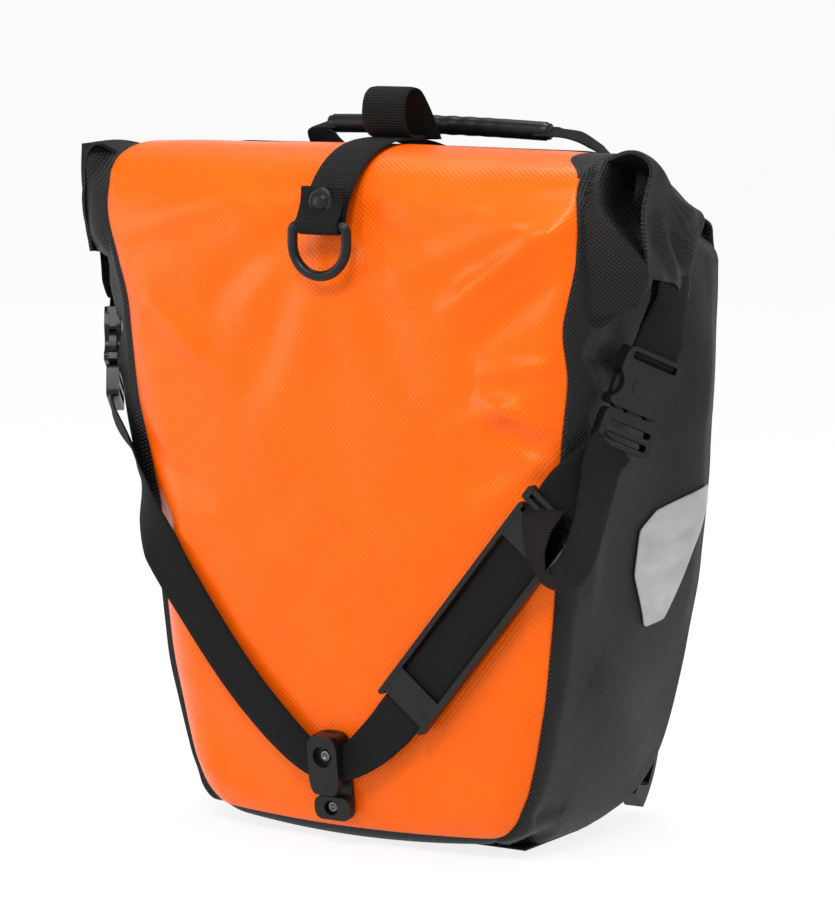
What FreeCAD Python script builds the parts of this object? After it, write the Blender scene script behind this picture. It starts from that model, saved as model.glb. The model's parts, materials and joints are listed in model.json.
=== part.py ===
"""Roll-top pannier bag: a coated-fabric sack with rack hooks, carry handle and shoulder strap.

Frame: +Z up, -Y the decorated front, +Y the rack side. The origin is the centre of the base on the
ground plane. Lengths are millimetres.
"""
import FreeCAD, Part
import Sketcher
import math
import os

Vector = FreeCAD.Vector
Rotation = FreeCAD.Rotation
Placement = FreeCAD.Placement

DRIVING_DIMENSIONS = [
    ("wall", 1.6, "thickness of the coated fabric panels"),
    ("depth_half", 85, "half depth of the sack, at the flat back"),
    ("base_half", 112, "half width at the base"),
    ("mouth_half", 165, "half width at the mouth"),
    ("crown", 416, "height of the rolled mouth"),
    ("front_split", -58, "seam between the front panel and the sides"),
    ("collar_seam", 372, "height of the seam under the rolled mouth"),
    ("heel_radius", 60, "radius of the rounded rear of the base"),
    ("web_width", 30, "width of the webbing"),
    ("web_thick", 1.6, "thickness of the webbing"),
    ("wing_reach", 199, "half width across the folded roll ends"),
    ("wing_foot", 332, "height of the lower edge of the roll ends"),
    ("buckle_width", 40, "width of a side-release buckle"),
    ("buckle_thick", 11, "thickness of a buckle socket"),
    ("socket_length", 36, "length of a buckle socket"),
    ("ring_width", 43, "outer width of the D-ring"),
    ("ring_stock", 5.6, "thickness of the D-ring stock"),
    ("ring_bar_height", 372, "height of the D-ring's bar"),
    ("ring_bar_front", -101, "distance of the D-ring's bar from the middle plane"),
    ("pad_length", 154, "length of the shoulder pad"),
    ("pad_width", 38, "width of the shoulder pad"),
    ("grip_length", 156, "length of the handle's grip"),
    ("grip_radius", 6, "radius of the handle's grip"),
    ("grip_height", 427, "height of the handle's grip"),
    ("grip_back", 30, "distance of the grip behind the middle plane"),
    ("rail_length", 250, "length of the top rail"),
    ("rail_height", 24, "height of the top rail"),
    ("rail_level", 340, "height of the middle of the top rail"),
    ("rail_thick", 6, "thickness of the rails"),
    ("hook_spread", 95, "half distance between the rack hooks"),
    ("hook_width", 26, "width of a rack hook"),
    ("tube_back", 109, "distance of the rack tube behind the middle plane"),
    ("tube_level", 352, "height of the rack tube"),
    ("seat_radius", 8, "radius of a rack hook's bare seat"),
    ("tube_radius", 5, "radius of the rack tube that the inserts fit"),
    ("low_rail_level", 105, "height of the lower rail"),
    ("low_rail_length", 150, "length of the lower rail"),
    ("screw_radius", 2, "radius of the screws' shanks"),
    ("head_radius", 4.5, "radius of the screws' heads"),
]

doc = FreeCAD.newDocument("pannier_bag")
dims = doc.addObject("Spreadsheet::Sheet", "dims")
for row, (alias, value, meaning) in enumerate(DRIVING_DIMENSIONS, start=1):
    dims.set(f"A{row}", meaning)
    dims.set(f"B{row}", str(value))
    dims.setAlias(f"B{row}", alias)
doc.recompute()

SUB_PARTS = []


def size(alias):
    """A driving dimension as a number."""
    return float(dims.get(alias))


def bind(thing, prop, formula):
    """Bind a property to a formula over the sheet, or set a plain number."""
    thing.setExpression(prop, str(formula))


def move_to(thing, corner):
    """Bind a solid's position to three formulas."""
    for axis, formula in zip("xyz", corner):
        bind(thing, f"Placement.Base.{axis}", formula)


def block(name, sizes, centre):
    """Box of three sizes about a centre; every entry is a number or a formula."""
    solid = doc.addObject("Part::Box", name)
    for prop, formula in zip(("Length", "Width", "Height"), sizes):
        bind(solid, prop, formula)
    move_to(solid, [f"({middle}) - ({extent}) / 2" for middle, extent in zip(centre, sizes)])
    return solid


def rod(name, radius, length, centre, axis="z", angle=360, turn=0):
    """Cylinder, or a sector of one, about a centre with its axis along x, y or z."""
    solid = doc.addObject("Part::Cylinder", name)
    bind(solid, "Radius", radius)
    bind(solid, "Height", length)
    bind(solid, "Angle", angle)
    turns = {"x": Rotation(Vector(0, 1, 0), 90), "y": Rotation(Vector(1, 0, 0), -90), "z": Rotation()}
    solid.Placement = Placement(Vector(), turns[axis] * Rotation(Vector(0, 0, 1), turn))
    shifts = {"x": (1, 0, 0), "y": (0, 1, 0), "z": (0, 0, 1)}[axis]
    move_to(solid, [f"({middle}) - {shift} * ({length}) / 2" for middle, shift in zip(centre, shifts)])
    return solid


def head_at(name, radius, length, centre, direction):
    """Screw head standing on a point and facing a direction."""
    solid = doc.addObject("Part::Cylinder", name)
    bind(solid, "Radius", radius)
    bind(solid, "Height", length)
    solid.Placement = Placement(centre, Rotation(Vector(0, 0, 1), direction))
    return solid


def fuse(name, *solids):
    """Union of solids as one object."""
    union = doc.addObject("Part::MultiFuse", name)
    union.Shapes = list(solids)
    return union


def group(name, *solids):
    """Separate solids kept together as one object, such as a set of screws."""
    union = doc.addObject("Part::Compound", name)
    union.Links = list(solids)
    return union


def cut(name, base, tool):
    """One solid less another."""
    difference = doc.addObject("Part::Cut", name)
    difference.Base = base
    difference.Tool = tool
    return difference


def sub_part(solid, label, placement=None):
    """Register an object as a sub-part under its node name."""
    solid.Label = label
    if placement is not None:
        solid.Placement = placement
    SUB_PARTS.append(solid)
    return solid


def feature(label, shape):
    """Sub-part whose shape is worked out here from the sheet's sizes."""
    solid = doc.addObject("Part::Feature", label)
    solid.Shape = shape
    return sub_part(solid, label, Placement())


PLANE_NORMALS = {"XY_Plane": Vector(0, 0, 1), "XZ_Plane": Vector(0, 1, 0), "YZ_Plane": Vector(1, 0, 0)}


def plate_body(label, plane, outline, thickness, placement, holes=(), rounding=0):
    """PartDesign body: a closed outline of straight edges padded to both sides of its plane.

    Outline points and holes (across, up, radius) are numbers or formulas, each bound by a constraint.
    """
    body = doc.addObject("PartDesign::Body", label)
    sketch = body.newObject("Sketcher::SketchObject", f"{label}_outline")
    origin_plane = [item for item in body.Origin.OriginFeatures if item.Role == plane][0]
    sketch.AttachmentSupport = [(origin_plane, "")]
    sketch.MapMode = "FlatFace"
    count = len(outline)
    for index in range(count):
        start_angle = 2 * math.pi * index / count
        end_angle = 2 * math.pi * (index + 1) / count
        sketch.addGeometry(Part.LineSegment(
            Vector(10 * math.cos(start_angle), 10 * math.sin(start_angle), 0),
            Vector(10 * math.cos(end_angle), 10 * math.sin(end_angle), 0)))
    for index, (across, up) in enumerate(outline):
        after = (index + 1) % count
        sketch.addConstraint(Sketcher.Constraint("Coincident", index, 2, after, 1))
        for kind, formula in (("DistanceX", across), ("DistanceY", up)):
            number = sketch.addConstraint(Sketcher.Constraint(kind, -1, 1, index, 1, 1.0))
            sketch.setExpression(f"Constraints[{number}]", str(formula))
    for across, up, radius in holes:
        circle = sketch.addGeometry(Part.Circle(Vector(0, 0, 0), Vector(0, 0, 1), 1.0))
        number = sketch.addConstraint(Sketcher.Constraint("Radius", circle, 1.0))
        sketch.setExpression(f"Constraints[{number}]", str(radius))
        for kind, formula in (("DistanceX", across), ("DistanceY", up)):
            number = sketch.addConstraint(Sketcher.Constraint(kind, -1, 1, circle, 3, 1.0))
            sketch.setExpression(f"Constraints[{number}]", str(formula))
    pad = body.newObject("PartDesign::Pad", f"{label}_pad")
    pad.Profile = sketch
    pad.SideType = "Symmetric"
    bind(pad, "Length", thickness)
    doc.recompute()
    if rounding:
        normal = PLANE_NORMALS[plane]
        upright = []
        for number, edge in enumerate(pad.Shape.Edges, start=1):
            straight = edge.Curve.TypeId == "Part::GeomLine"
            if straight and abs(edge.tangentAt(edge.FirstParameter).dot(normal)) > 0.99:
                upright.append(f"Edge{number}")
        fillet = body.newObject("PartDesign::Fillet", f"{label}_fillet")
        fillet.Base = (pad, upright)
        bind(fillet, "Radius", rounding)
        body.Tip = fillet
    return sub_part(body, label, placement)


def rounded_wire(corners, lift):
    """Closed wire through (a, b, radius) corners; lift takes a flat point to its place in space."""
    count = len(corners)
    arcs = []
    for index, (across, up, radius) in enumerate(corners):
        here = Vector(across, up, 0)
        before = Vector(*corners[index - 1][:2], 0)
        after = Vector(*corners[(index + 1) % count][:2], 0)
        back = (before - here).normalize()
        onward = (after - here).normalize()
        half = back.getAngle(onward) / 2
        reach = radius / math.tan(half)
        bisector = (back + onward).normalize()
        middle = here + bisector * (radius / math.sin(half) - radius)
        arcs.append((here + back * reach, middle, here + onward * reach))
    edges = []
    for index, (start, middle, stop) in enumerate(arcs):
        following = arcs[(index + 1) % count][0]
        edges.append(Part.Arc(lift(start), lift(middle), lift(stop)).toShape())
        edges.append(Part.makeLine(lift(stop), lift(following)))
    return Part.Wire(edges)


# ---------------------------------------------------------------- the sack

# height, half width as a share between base and mouth, front corner line, bulge of the front
SECTIONS = [
    (0, 0.0, -62, 3),
    (12, 0.17, -74, 6),
    (50, 0.40, -81, 8),
    (100, 0.63, -83, 9),
    (215, 0.90, -84, 9),
    (300, 0.98, -84, 9),
    (430, 1.0, -84, 9),
]
CORNER_RADIUS = 24
REAR_RADIUS = 4
BULGE_RADIUS = 260


def half_width(share):
    return size("base_half") + share * (size("mouth_half") - size("base_half"))


def side_reach(height):
    """Half width of the sack's side at a height."""
    for low, high in zip(SECTIONS, SECTIONS[1:]):
        if height <= high[0]:
            share = (height - low[0]) / (high[0] - low[0])
            return half_width(low[1]) + share * (half_width(high[1]) - half_width(low[1]))
    return size("mouth_half")


def sack_column(inset, back):
    """Tall solid of the sack's plan sections, before its top and base are shaped."""
    wires = []
    for height, share, front, bulge in SECTIONS:
        half = half_width(share) - inset
        near = front + inset
        corners = [
            (-half, back, REAR_RADIUS),
            (-half, near, CORNER_RADIUS - inset),
            (0, near - bulge, BULGE_RADIUS),
            (half, near, CORNER_RADIUS - inset),
            (half, back, REAR_RADIUS),
        ]
        wires.append(rounded_wire(corners, lambda flat, level=height: Vector(flat.x, flat.y, level)))
    return Part.makeLoft(wires, True, True)


def side_profile(inset):
    """Prism of the sack's side view: flat base, round heel, sloping top."""
    back = size("depth_half") - inset
    crown = size("crown") - inset
    corners = [
        (-120, inset, 1),
        (back, inset, size("heel_radius") - inset),
        (back, 388 - inset, 4),
        (0, crown, 60),
        (-50, crown, 30),
        (-97 + inset, 372, 40),
        (-120, 300, 10),
    ]
    wire = rounded_wire(corners, lambda flat: Vector(-300, flat.x, flat.y))
    return Part.Face(wire).extrude(Vector(600, 0, 0))


def slab(low_y, high_y, low_z, high_z, half=300):
    """Plain box across the whole width."""
    return Part.makeBox(2 * half, high_y - low_y, high_z - low_z, Vector(-half, low_y, low_z))


def build_sack():
    wall = size("wall")
    back = size("depth_half")
    split = size("front_split")
    seam = size("collar_seam")
    heel = size("heel_radius")
    outer = sack_column(0, back).common(side_profile(0))
    inner = sack_column(wall, back - wall).common(side_profile(wall))
    core = sack_column(wall, back + 20)
    shell = outer.cut(inner)
    rest = shell.common(slab(split, 200, -10, 500))
    ends = rest.common(core)
    sides = rest.cut(core)
    feature("front_panel", shell.common(slab(-200, split, -10, 500)))
    feature("side_panel_left", sides.common(Part.makeBox(300, 400, 600, Vector(-300, -200, -50))))
    feature("side_panel_right", sides.common(Part.makeBox(300, 400, 600, Vector(0, -200, -50))))
    feature("bottom_panel", ends.common(slab(split, 200, -10, heel)))
    feature("back_panel", ends.common(slab(60, 200, heel, seam)))
    feature("top_collar", ends.common(slab(0, 200, seam, 500)))
    roll_outer = outer.common(core).common(slab(split, 0, seam, 500))
    roll_inner = sack_column(9, back - 9).common(side_profile(9))
    slot = Part.makeBox(292, 22, 1.4, Vector(-146, -42, size("crown") - 5.4))
    feature("rolled_mouth", roll_outer.cut(roll_inner).cut(slot))
    feature("mouth_stiffener", slot)


build_sack()

STIFFENER_THICK = 3
back_inside = "dims.depth_half - dims.wall"
stiffener = plate_body(
    "back_stiffener", "XZ_Plane",
    [(-118, 76), (118, 76), (150, 355), (-150, 355)],
    STIFFENER_THICK, Placement(), rounding=12)
move_to(stiffener, (0, f"{back_inside} - {STIFFENER_THICK} / 2 - 0.1", 0))
pocket = plate_body(
    "inner_pocket", "XZ_Plane", [(-95, 190), (95, 190), (95, 330), (-95, 330)],
    1.2, Placement(), rounding=8)
move_to(pocket, (0, f"{back_inside} - {STIFFENER_THICK} - 1.2 / 2 - 0.3", 0))

# ---------------------------------------------------------------- roll ends (wings)


def build_wing(side, label):
    """Roll end: it leaves the mouth sideways, folds over and hangs down beside the sack."""
    reach = size("wing_reach")
    mouth = size("mouth_half")
    crown = size("crown")
    foot = size("wing_foot")
    corners = [
        (mouth + 0.2, crown - 3, 2),
        (reach - 1, crown - 5, 9),
        (reach, 372, 60),
        (reach - 5, foot, 3),
        (reach - 14, foot, 3),
        (reach - 12, 380, 8),
        (mouth + 0.2, 393, 2),
    ]
    wire = rounded_wire(corners, lambda flat: Vector(side * flat.x, size("front_split"), flat.y))
    wing = Part.Face(wire).extrude(Vector(0, 62, 0))
    # the hanging edge is swept towards the rack
    trim = Part.makePolygon([
        Vector(-400, -60, 385), Vector(-400, -60, 300), Vector(-400, -44, 300), Vector(-400, -60, 385)])
    wing = wing.cut(Part.Face(trim).extrude(Vector(800, 0, 0)))
    feature(label, wing)


build_wing(-1, "wing_left")
build_wing(1, "wing_right")

# ---------------------------------------------------------------- webbing


def strap_shape(stations, width=None):
    """Webbing as a skin of ruled faces; a station is a centre and the way the face looks there."""
    width = width or size("web_width")
    thick = size("web_thick")
    centres = [Vector(*centre) for centre, normal in stations]
    rings = []
    for index, (centre, normal) in enumerate(stations):
        behind = centres[max(index - 1, 0)]
        ahead = centres[min(index + 1, len(centres) - 1)]
        along = (ahead - behind).normalize()
        side = along.cross(Vector(*normal)).normalize() * (width / 2)
        up = side.cross(along).normalize() * (thick / 2)
        middle = centres[index]
        rings.append([middle - side - up, middle + side - up, middle + side + up, middle - side + up])
    faces = [Part.Face(Part.makePolygon(ring + ring[:1])) for ring in (rings[0], rings[-1])]
    for near, far in zip(rings, rings[1:]):
        for corner in range(4):
            after = (corner + 1) % 4
            faces.append(Part.makeRuledSurface(
                Part.makeLine(near[corner], near[after]), Part.makeLine(far[corner], far[after])))
    skin = Part.makeShell(faces)
    skin.sewShape()
    solid = Part.Solid(skin)
    if solid.Volume < 0:
        solid = Part.Solid(skin.reversed())
    return solid


STRAP_SLOPE = math.atan2(0.781, 0.625)
PAD_MIDDLE = Vector(100, -97.6, 148)
PAD_ALONG = Vector(math.cos(STRAP_SLOPE), 0, math.sin(STRAP_SLOPE))
PAD_ACROSS = Vector(-math.sin(STRAP_SLOPE), 0, math.cos(STRAP_SLOPE))


def pad_point(along, front):
    """A point on the pad's line, measured from its middle and from its own mid plane."""
    point = PAD_MIDDLE + PAD_ALONG * along
    return (point.x, point.y + front, point.z)


def build_shoulder_strap():
    """Strap from the left plug down to the front hook and up through the pad to the slider."""
    flat = (0, -1, 0)
    stations = [
        ((-179.5, -65, 248), (-0.86, -0.5, 0)),
        ((-168, -71, 230), (-0.8, -0.6, 0)),
        ((-155.5, -80, 208), (-0.6, -0.8, 0)),
        ((-137, -91.2, 184), flat),
        ((-72, -94, 110), flat),
        ((-30, -95.2, 64), flat),
        ((-11, -95.4, 46), flat),
        ((11, -95.4, 46), flat),
        ((28, -96.2, 62), flat),
        (pad_point(-90, 0), flat),
        (pad_point(90, 0), flat),
    ]
    return strap_shape(stations)


def build_strap_loop():
    """Slack of the strap: down from the slider, round, and up to the right plug."""
    stations = [
        ((155, -105, 209), (-0.1, -1, 0)),
        ((159, -107.5, 194), (0, -1, -0.1)),
        ((167, -109, 183), (0.1, -0.95, -0.3)),
        ((177, -106.5, 179), (0.35, -0.85, -0.4)),
        ((185, -99, 186), (0.65, -0.7, -0.3)),
        ((186.5, -89, 202), (0.8, -0.6, -0.1)),
        ((182, -77, 223), (0.86, -0.5, 0)),
        ((175.5, -66, 243), (0.86, -0.5, 0)),
    ]
    return strap_shape(stations)


feature("shoulder_strap", build_shoulder_strap())
feature("strap_loop", build_strap_loop())

RING_BAR = Vector(-2.5, size("ring_bar_front"), size("ring_bar_height"))
LOOP_MIDDLE = -2.5


def build_closure_strap():
    """Strap from the rear of the collar over the rolled mouth to the D-ring's fold."""
    path = [
        (78, 394.0, 18), (20, 415.0, 14), (-8, 418.2, 2), (-48, 418.2, -4),
        (-66, 412.5, -24), (-80, 402, -42), (-91, 389.0, -62)]
    stations = []
    for back, level, tilt in path:
        lean = math.radians(tilt)
        stations.append(((LOOP_MIDDLE, back, level), (0, math.sin(lean), math.cos(lean))))
    return strap_shape(stations)


feature("closure_strap", build_closure_strap())


def build_pull_loop():
    """Standing loop sewn on the closure strap: up in front, round the top, down behind."""
    steps = 14
    radius = 15
    foot = size("crown") + 3.2
    stations = []
    for step in range(steps + 1):
        turn = math.radians(-80 + 340 * step / steps)
        outward = Vector(0, -math.cos(turn), math.sin(turn))
        centre = Vector(LOOP_MIDDLE, -20, foot + radius + 0.8) + outward * radius
        stations.append((tuple(centre), tuple(outward)))
    return strap_shape(stations)


feature("pull_loop", build_pull_loop())

# ---------------------------------------------------------------- D-ring, its fold and stud

ring_half = "(dims.ring_width - dims.ring_stock) / 2"
ring_stock = "dims.ring_stock / 2"
bar_place = (RING_BAR.x, "dims.ring_bar_front", "dims.ring_bar_height")
leg = 15
ring_bar = rod("ring_bar", ring_stock, f"2 * {ring_half}", bar_place, "x")
ring_parts = [ring_bar]
for number, sign in enumerate((-1, 1)):
    across = f"{RING_BAR.x} + {sign} * {ring_half}"
    ring_parts.append(rod(
        f"ring_leg_{number}", ring_stock, leg, (across, bar_place[1], f"dims.ring_bar_height - {leg} / 2")))
    corner = doc.addObject("Part::Sphere", f"ring_corner_{number}")
    bind(corner, "Radius", ring_stock)
    move_to(corner, (across, *bar_place[1:]))
    ring_parts.append(corner)
bow = doc.addObject("Part::Torus", "ring_bow")
bind(bow, "Radius1", ring_half)
bind(bow, "Radius2", ring_stock)
bind(bow, "Angle3", 180)
bow.Placement = Placement(Vector(), Rotation(Vector(1, 0, 0), -90))
move_to(bow, (RING_BAR.x, bar_place[1], f"dims.ring_bar_height - {leg}"))
ring_parts.append(bow)
sub_part(fuse("d_ring", *ring_parts), "d_ring")

FOLD_GAP = 0.3
fold_length = "dims.web_width"
fold_outer = rod("fold_outer", f"{ring_stock} + {FOLD_GAP} + dims.web_thick", fold_length, bar_place, "x")
fold_leaf = block(
    "fold_leaf", (fold_length, "dims.web_thick", 24),
    (RING_BAR.x, f"dims.ring_bar_front + {ring_stock} + {FOLD_GAP} + dims.web_thick / 2",
     "dims.ring_bar_height + 12"))
fold_bore = rod("fold_bore", f"{ring_stock} + {FOLD_GAP}", 60, bar_place, "x")
sub_part(cut("ring_fold", fuse("fold_blank", fold_outer, fold_leaf), fold_bore), "ring_fold")

stud_place = Placement(Vector(LOOP_MIDDLE, size("ring_bar_front") + 3, 386), Rotation(Vector(1, 0, 0), 90))
stud_cap = rod("stud_cap", 8, 2.4, (0, 0, 1.2))
stud_button = rod("stud_button", 5, 1.6, (0, 0, 3.2))
sub_part(fuse("stud", stud_cap, stud_button), "stud", stud_place)

# ---------------------------------------------------------------- side-release buckles

BUCKLE_TOP = Vector(187, -37, 306)
BUCKLE_FOOT = Vector(173.5, -57.5, 248)
LEFT_SHIFT = Vector(-7, -2, 5)
PLUG_TAIL = 20
PRONG_TURN_LEVEL = 3


def buckle_frame(side):
    """Placement with local z up the strap and local y out of the buckle's face."""
    up = Vector(BUCKLE_TOP - BUCKLE_FOOT).normalize()
    up = Vector(side * up.x, up.y, up.z)
    face = Vector(side * 0.86, -0.5, 0)
    face = (face - up * face.dot(up)).normalize()
    across = face.cross(up)
    matrix = FreeCAD.Matrix(
        across.x, face.x, up.x, 0,
        across.y, face.y, up.y, 0,
        across.z, face.z, up.z, 0,
        0, 0, 0, 1)
    place = Placement(matrix)
    place.Base = Vector(side * BUCKLE_FOOT.x, BUCKLE_FOOT.y, BUCKLE_FOOT.z)
    if side < 0:
        place.Base = place.Base + LEFT_SHIFT
    return place


def build_buckle(side, word):
    """Socket with two windows, plug with a ladder bar, and its two springy prongs."""
    place = buckle_frame(side)
    socket_foot = PLUG_TAIL + 2
    socket_middle = f"{socket_foot} + dims.socket_length / 2"
    shell = block(f"{word}_shell", ("dims.buckle_width", "dims.buckle_thick", "dims.socket_length"),
                  (0, 0, socket_middle))
    mouth = block(f"{word}_mouth", ("dims.buckle_width - 4.4", "dims.buckle_thick - 4", 25),
                  (0, 0, f"{socket_foot} + 12.4"))
    windows = block(f"{word}_windows", ("dims.buckle_width + 4", "dims.buckle_thick - 3.4", 13),
                    (0, 0, f"{socket_foot} + 12"))
    bar_slot = block(f"{word}_slot", ("dims.buckle_width - 8", 20, 5), (0, 0, f"{socket_foot} + 31"))
    hollow = fuse(f"{word}_hollow", mouth, windows, bar_slot)
    sub_part(cut(f"{word}_socket", shell, hollow), f"buckle_socket_{word}", place)

    base = block(f"{word}_base", ("dims.buckle_width - 2", 8, PLUG_TAIL), (0, 0, f"{PLUG_TAIL} / 2"))
    ladder = block(f"{word}_ladder", ("dims.buckle_width - 8", 20, 5), (0, 0, 5))
    ladder_high = block(f"{word}_ladder_high", ("dims.buckle_width - 8", 20, 4), (0, 0, 12.5))
    tongue = block(f"{word}_tongue", (9, 5, 20), (0, 0, PLUG_TAIL + 9.9))
    plug = cut(f"{word}_plug", fuse(f"{word}_plug_blank", base, tongue),
               fuse(f"{word}_ladder_cut", ladder, ladder_high))
    sub_part(plug, f"buckle_plug_{word}", place)

    for name, hand in (("front", -1), ("rear", 1)):
        outline = [
            (hand * 8.5, 20.8), (hand * 16.5, 20.8), (hand * 16.5, 27), (hand * 19.4, 29.6),
            (hand * 19.4, 39), (hand * 16.2, 42), (hand * 13.2, 42), (hand * 12.6, 26),
            (hand * 8.5, 25)]
        if hand > 0:
            outline.reverse()
        plate_body(f"prong_{word}_{name}", "XZ_Plane", outline, 5, place)


build_buckle(-1, "left")
build_buckle(1, "right")


def build_tab(side):
    """Doubled webbing from the roll end to the socket's bar."""
    foot = buckle_frame(side)
    up = foot.Rotation.multVec(Vector(0, 0, 1))
    face = foot.Rotation.multVec(Vector(0, 1, 0))
    stations = []
    for along in (58.4, 70):
        stations.append((tuple(foot.Base + up * along), tuple(face)))
    hang = size("wing_reach") - (9.5 if side > 0 else 6)
    stations.append(((side * hang, -24, size("wing_foot") - 4), (side, 0, 0)))
    return strap_shape(stations)


feature("buckle_tab_left", build_tab(-1))
feature("buckle_tab_right", build_tab(1))

# ---------------------------------------------------------------- pad and slider on the strap

pad_turn = Placement(PAD_MIDDLE, Rotation(Vector(0, 1, 0), -math.degrees(STRAP_SLOPE)))
rails = block("pad_rails", ("dims.pad_length", 7, "dims.pad_width"), (0, 0, 0))
channel = block("pad_channel", ("dims.pad_length + 4", 20, "dims.web_width + 1.4"), (0, 0, 0))
pad_pieces = [cut("pad_sides", rails, channel)]
for number, sign in enumerate((-1, 1)):
    for layer, front in enumerate((-2.6, 2.6)):
        middle = f"{sign} * (dims.pad_length / 2 - 9)"
        pad_pieces.append(block(f"pad_bar_{number}_{layer}", (18, 1.8, "dims.pad_width"), (middle, front, 0)))
sub_part(fuse("shoulder_pad", *pad_pieces), "shoulder_pad", pad_turn)

slider_place = Placement(Vector(*pad_point(84, 0)), pad_turn.Rotation)
slider_blank = block("slider_blank", (8, 4.4, 40), (0, 0, 0))
slider_slot = block("slider_slot", (40, 2.4, 31.5), (0, 0, 0))
sub_part(cut("strap_slider", slider_blank, slider_slot), "strap_slider", slider_place)

# ---------------------------------------------------------------- strap hook at the foot of the front

HOOK_FRONT = -91.2
HOOK_TOP = 71
HOOK_LEAN = Rotation(Vector(1, 0, 0), 7)
hook_place = Placement(Vector(), HOOK_LEAN, Vector(0, HOOK_FRONT, HOOK_TOP))
hook_place = hook_place * Placement(Vector(0, HOOK_FRONT, 0), Rotation())
plate_body(
    "strap_hook", "YZ_Plane",
    [(0, 17), (-3.4, 17), (-4.6, 28), (-4.6, 33), (-2.6, 36), (-2.6, 61), (-9, 64.5), (-9.6, 34),
     (-13, 34), (-14, 50), (-13.4, 66), (-9, 70.5), (0, HOOK_TOP)],
    24, hook_place)
screws = []
for number, (depth, level) in enumerate(((-4.7, 23), (-13.9, 58))):
    centre = hook_place.multVec(Vector(0, depth, level))
    facing = hook_place.Rotation.multVec(Vector(0, -1, 0))
    screws.append(head_at(f"hook_head_{number}", 3.5, 2, centre, facing))
sub_part(group("strap_hook_screws", *screws), "strap_hook_screws")
plate_body(
    "hook_backing_plate", "XZ_Plane", [(-14, 46), (14, 46), (14, 76), (-14, 76)],
    2, Placement(Vector(0, -84.2, 0), Rotation()), rounding=4)

# ---------------------------------------------------------------- reflectors

REFLECTOR_OUTLINE = [(-20, 24), (13, 46), (51, 45), (57, 36), (36, -7), (15, -32), (-9, -36), (-26, -2)]
LOW_LEVEL, HIGH_LEVEL = SECTIONS[3][0], SECTIONS[4][0]
side_lean = math.degrees(math.atan2(side_reach(HIGH_LEVEL) - side_reach(LOW_LEVEL), HIGH_LEVEL - LOW_LEVEL))
for word, side in (("left", -1), ("right", 1)):
    place = Placement(
        Vector(side * (side_reach(168) + 0.7), 20, 168), Rotation(Vector(0, 1, 0), side * side_lean))
    plate_body(f"reflector_{word}", "YZ_Plane", REFLECTOR_OUTLINE, 0.8, place)

# ---------------------------------------------------------------- edge guards at the heel

GUARD_HALF_SPREAD = 113
GUARD_WIDTH = 13
GUARD_START = -46
GUARD_SWEEP = 50
GUARD_OUT = 15
GUARD_THICK = 3.5


def guard_sector(name, radius, middle, start, sweep):
    """Sector of a disc about the heel's centre line."""
    return rod(name, radius, GUARD_WIDTH,
               (middle, "dims.depth_half - dims.heel_radius", "dims.heel_radius"), "x", sweep, start)


guard_screws = []
for word, side in (("left", -1), ("right", 1)):
    middle = side * GUARD_HALF_SPREAD
    start = 90 + GUARD_START
    ring = cut(f"guard_ring_{word}",
               guard_sector(f"guard_out_{word}", f"dims.heel_radius + {GUARD_OUT}", middle,
                            start, GUARD_SWEEP),
               guard_sector(f"guard_in_{word}", f"dims.heel_radius + {GUARD_OUT - GUARD_THICK}", middle,
                            start - 1, GUARD_SWEEP + 2))
    feet = []
    for number, angle in enumerate((start, start + GUARD_SWEEP - 8)):
        foot_out = guard_sector(f"guard_foot_{word}_{number}", f"dims.heel_radius + {GUARD_OUT - 2}", middle, angle, 8)
        foot_in = guard_sector(f"guard_cut_{word}_{number}", "dims.heel_radius + 0.2", middle, angle - 1, 10)
        feet.append(cut(f"guard_pad_{word}_{number}", foot_out, foot_in))
    sub_part(fuse(f"edge_guard_{word}", ring, *feet), f"edge_guard_{word}")
    for number, angle in enumerate((GUARD_START + 4, GUARD_START + GUARD_SWEEP - 4)):
        tilt = math.radians(angle)
        outward = Vector(0, math.cos(tilt), math.sin(tilt))
        heel_centre = Vector(middle, size("depth_half") - size("heel_radius"), size("heel_radius"))
        centre = heel_centre + outward * (size("heel_radius") + GUARD_OUT + 0.1)
        guard_screws.append(head_at(f"guard_head_{word}_{number}", 3.4, 1.4, centre, outward))
sub_part(group("edge_guard_screws", *guard_screws), "edge_guard_screws")

# ---------------------------------------------------------------- top rail and rack hooks

rail_back = "dims.depth_half + 0.2"
top_rail = block("top_rail", ("dims.rail_length", "dims.rail_thick", "dims.rail_height"),
                 (0, f"{rail_back} + dims.rail_thick / 2", "dims.rail_level"))
sub_part(top_rail, "top_rail")

rail_screw_parts = []
washer_parts = []
RAIL_SCREW_SPREADS = (-118, -60, 60, 118)
for number, across in enumerate(RAIL_SCREW_SPREADS):
    head_middle = f"{rail_back} + dims.rail_thick + 1.3"
    head = rod(f"rail_head_{number}", "dims.head_radius", 2.4, (across, head_middle, "dims.rail_level"), "y")
    shank = rod(f"rail_shank_{number}", "dims.screw_radius", 16,
                (across, f"{head_middle} - 8", "dims.rail_level"), "y")
    rail_screw_parts.append(fuse(f"rail_screw_{number}", head, shank))
    washer_middle = "dims.depth_half - dims.wall - 5.6"
    washer_parts.append(rod(
        f"rail_washer_{number}", 7, 1.6, (across, washer_middle, "dims.rail_level"), "y"))
sub_part(group("rail_screws", *rail_screw_parts), "rail_screws")
sub_part(group("rail_washers", *washer_parts), "rail_washers")

tube_back = "dims.tube_back"
tube_level = "dims.tube_level"
hook_foot = 14
LEVER_PIN_RADIUS = 1.5
PIVOT_BACK = "(dims.depth_half + dims.rail_thick + 4.6)"
PIVOT_LEVEL = "(dims.tube_level - 18)"


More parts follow.
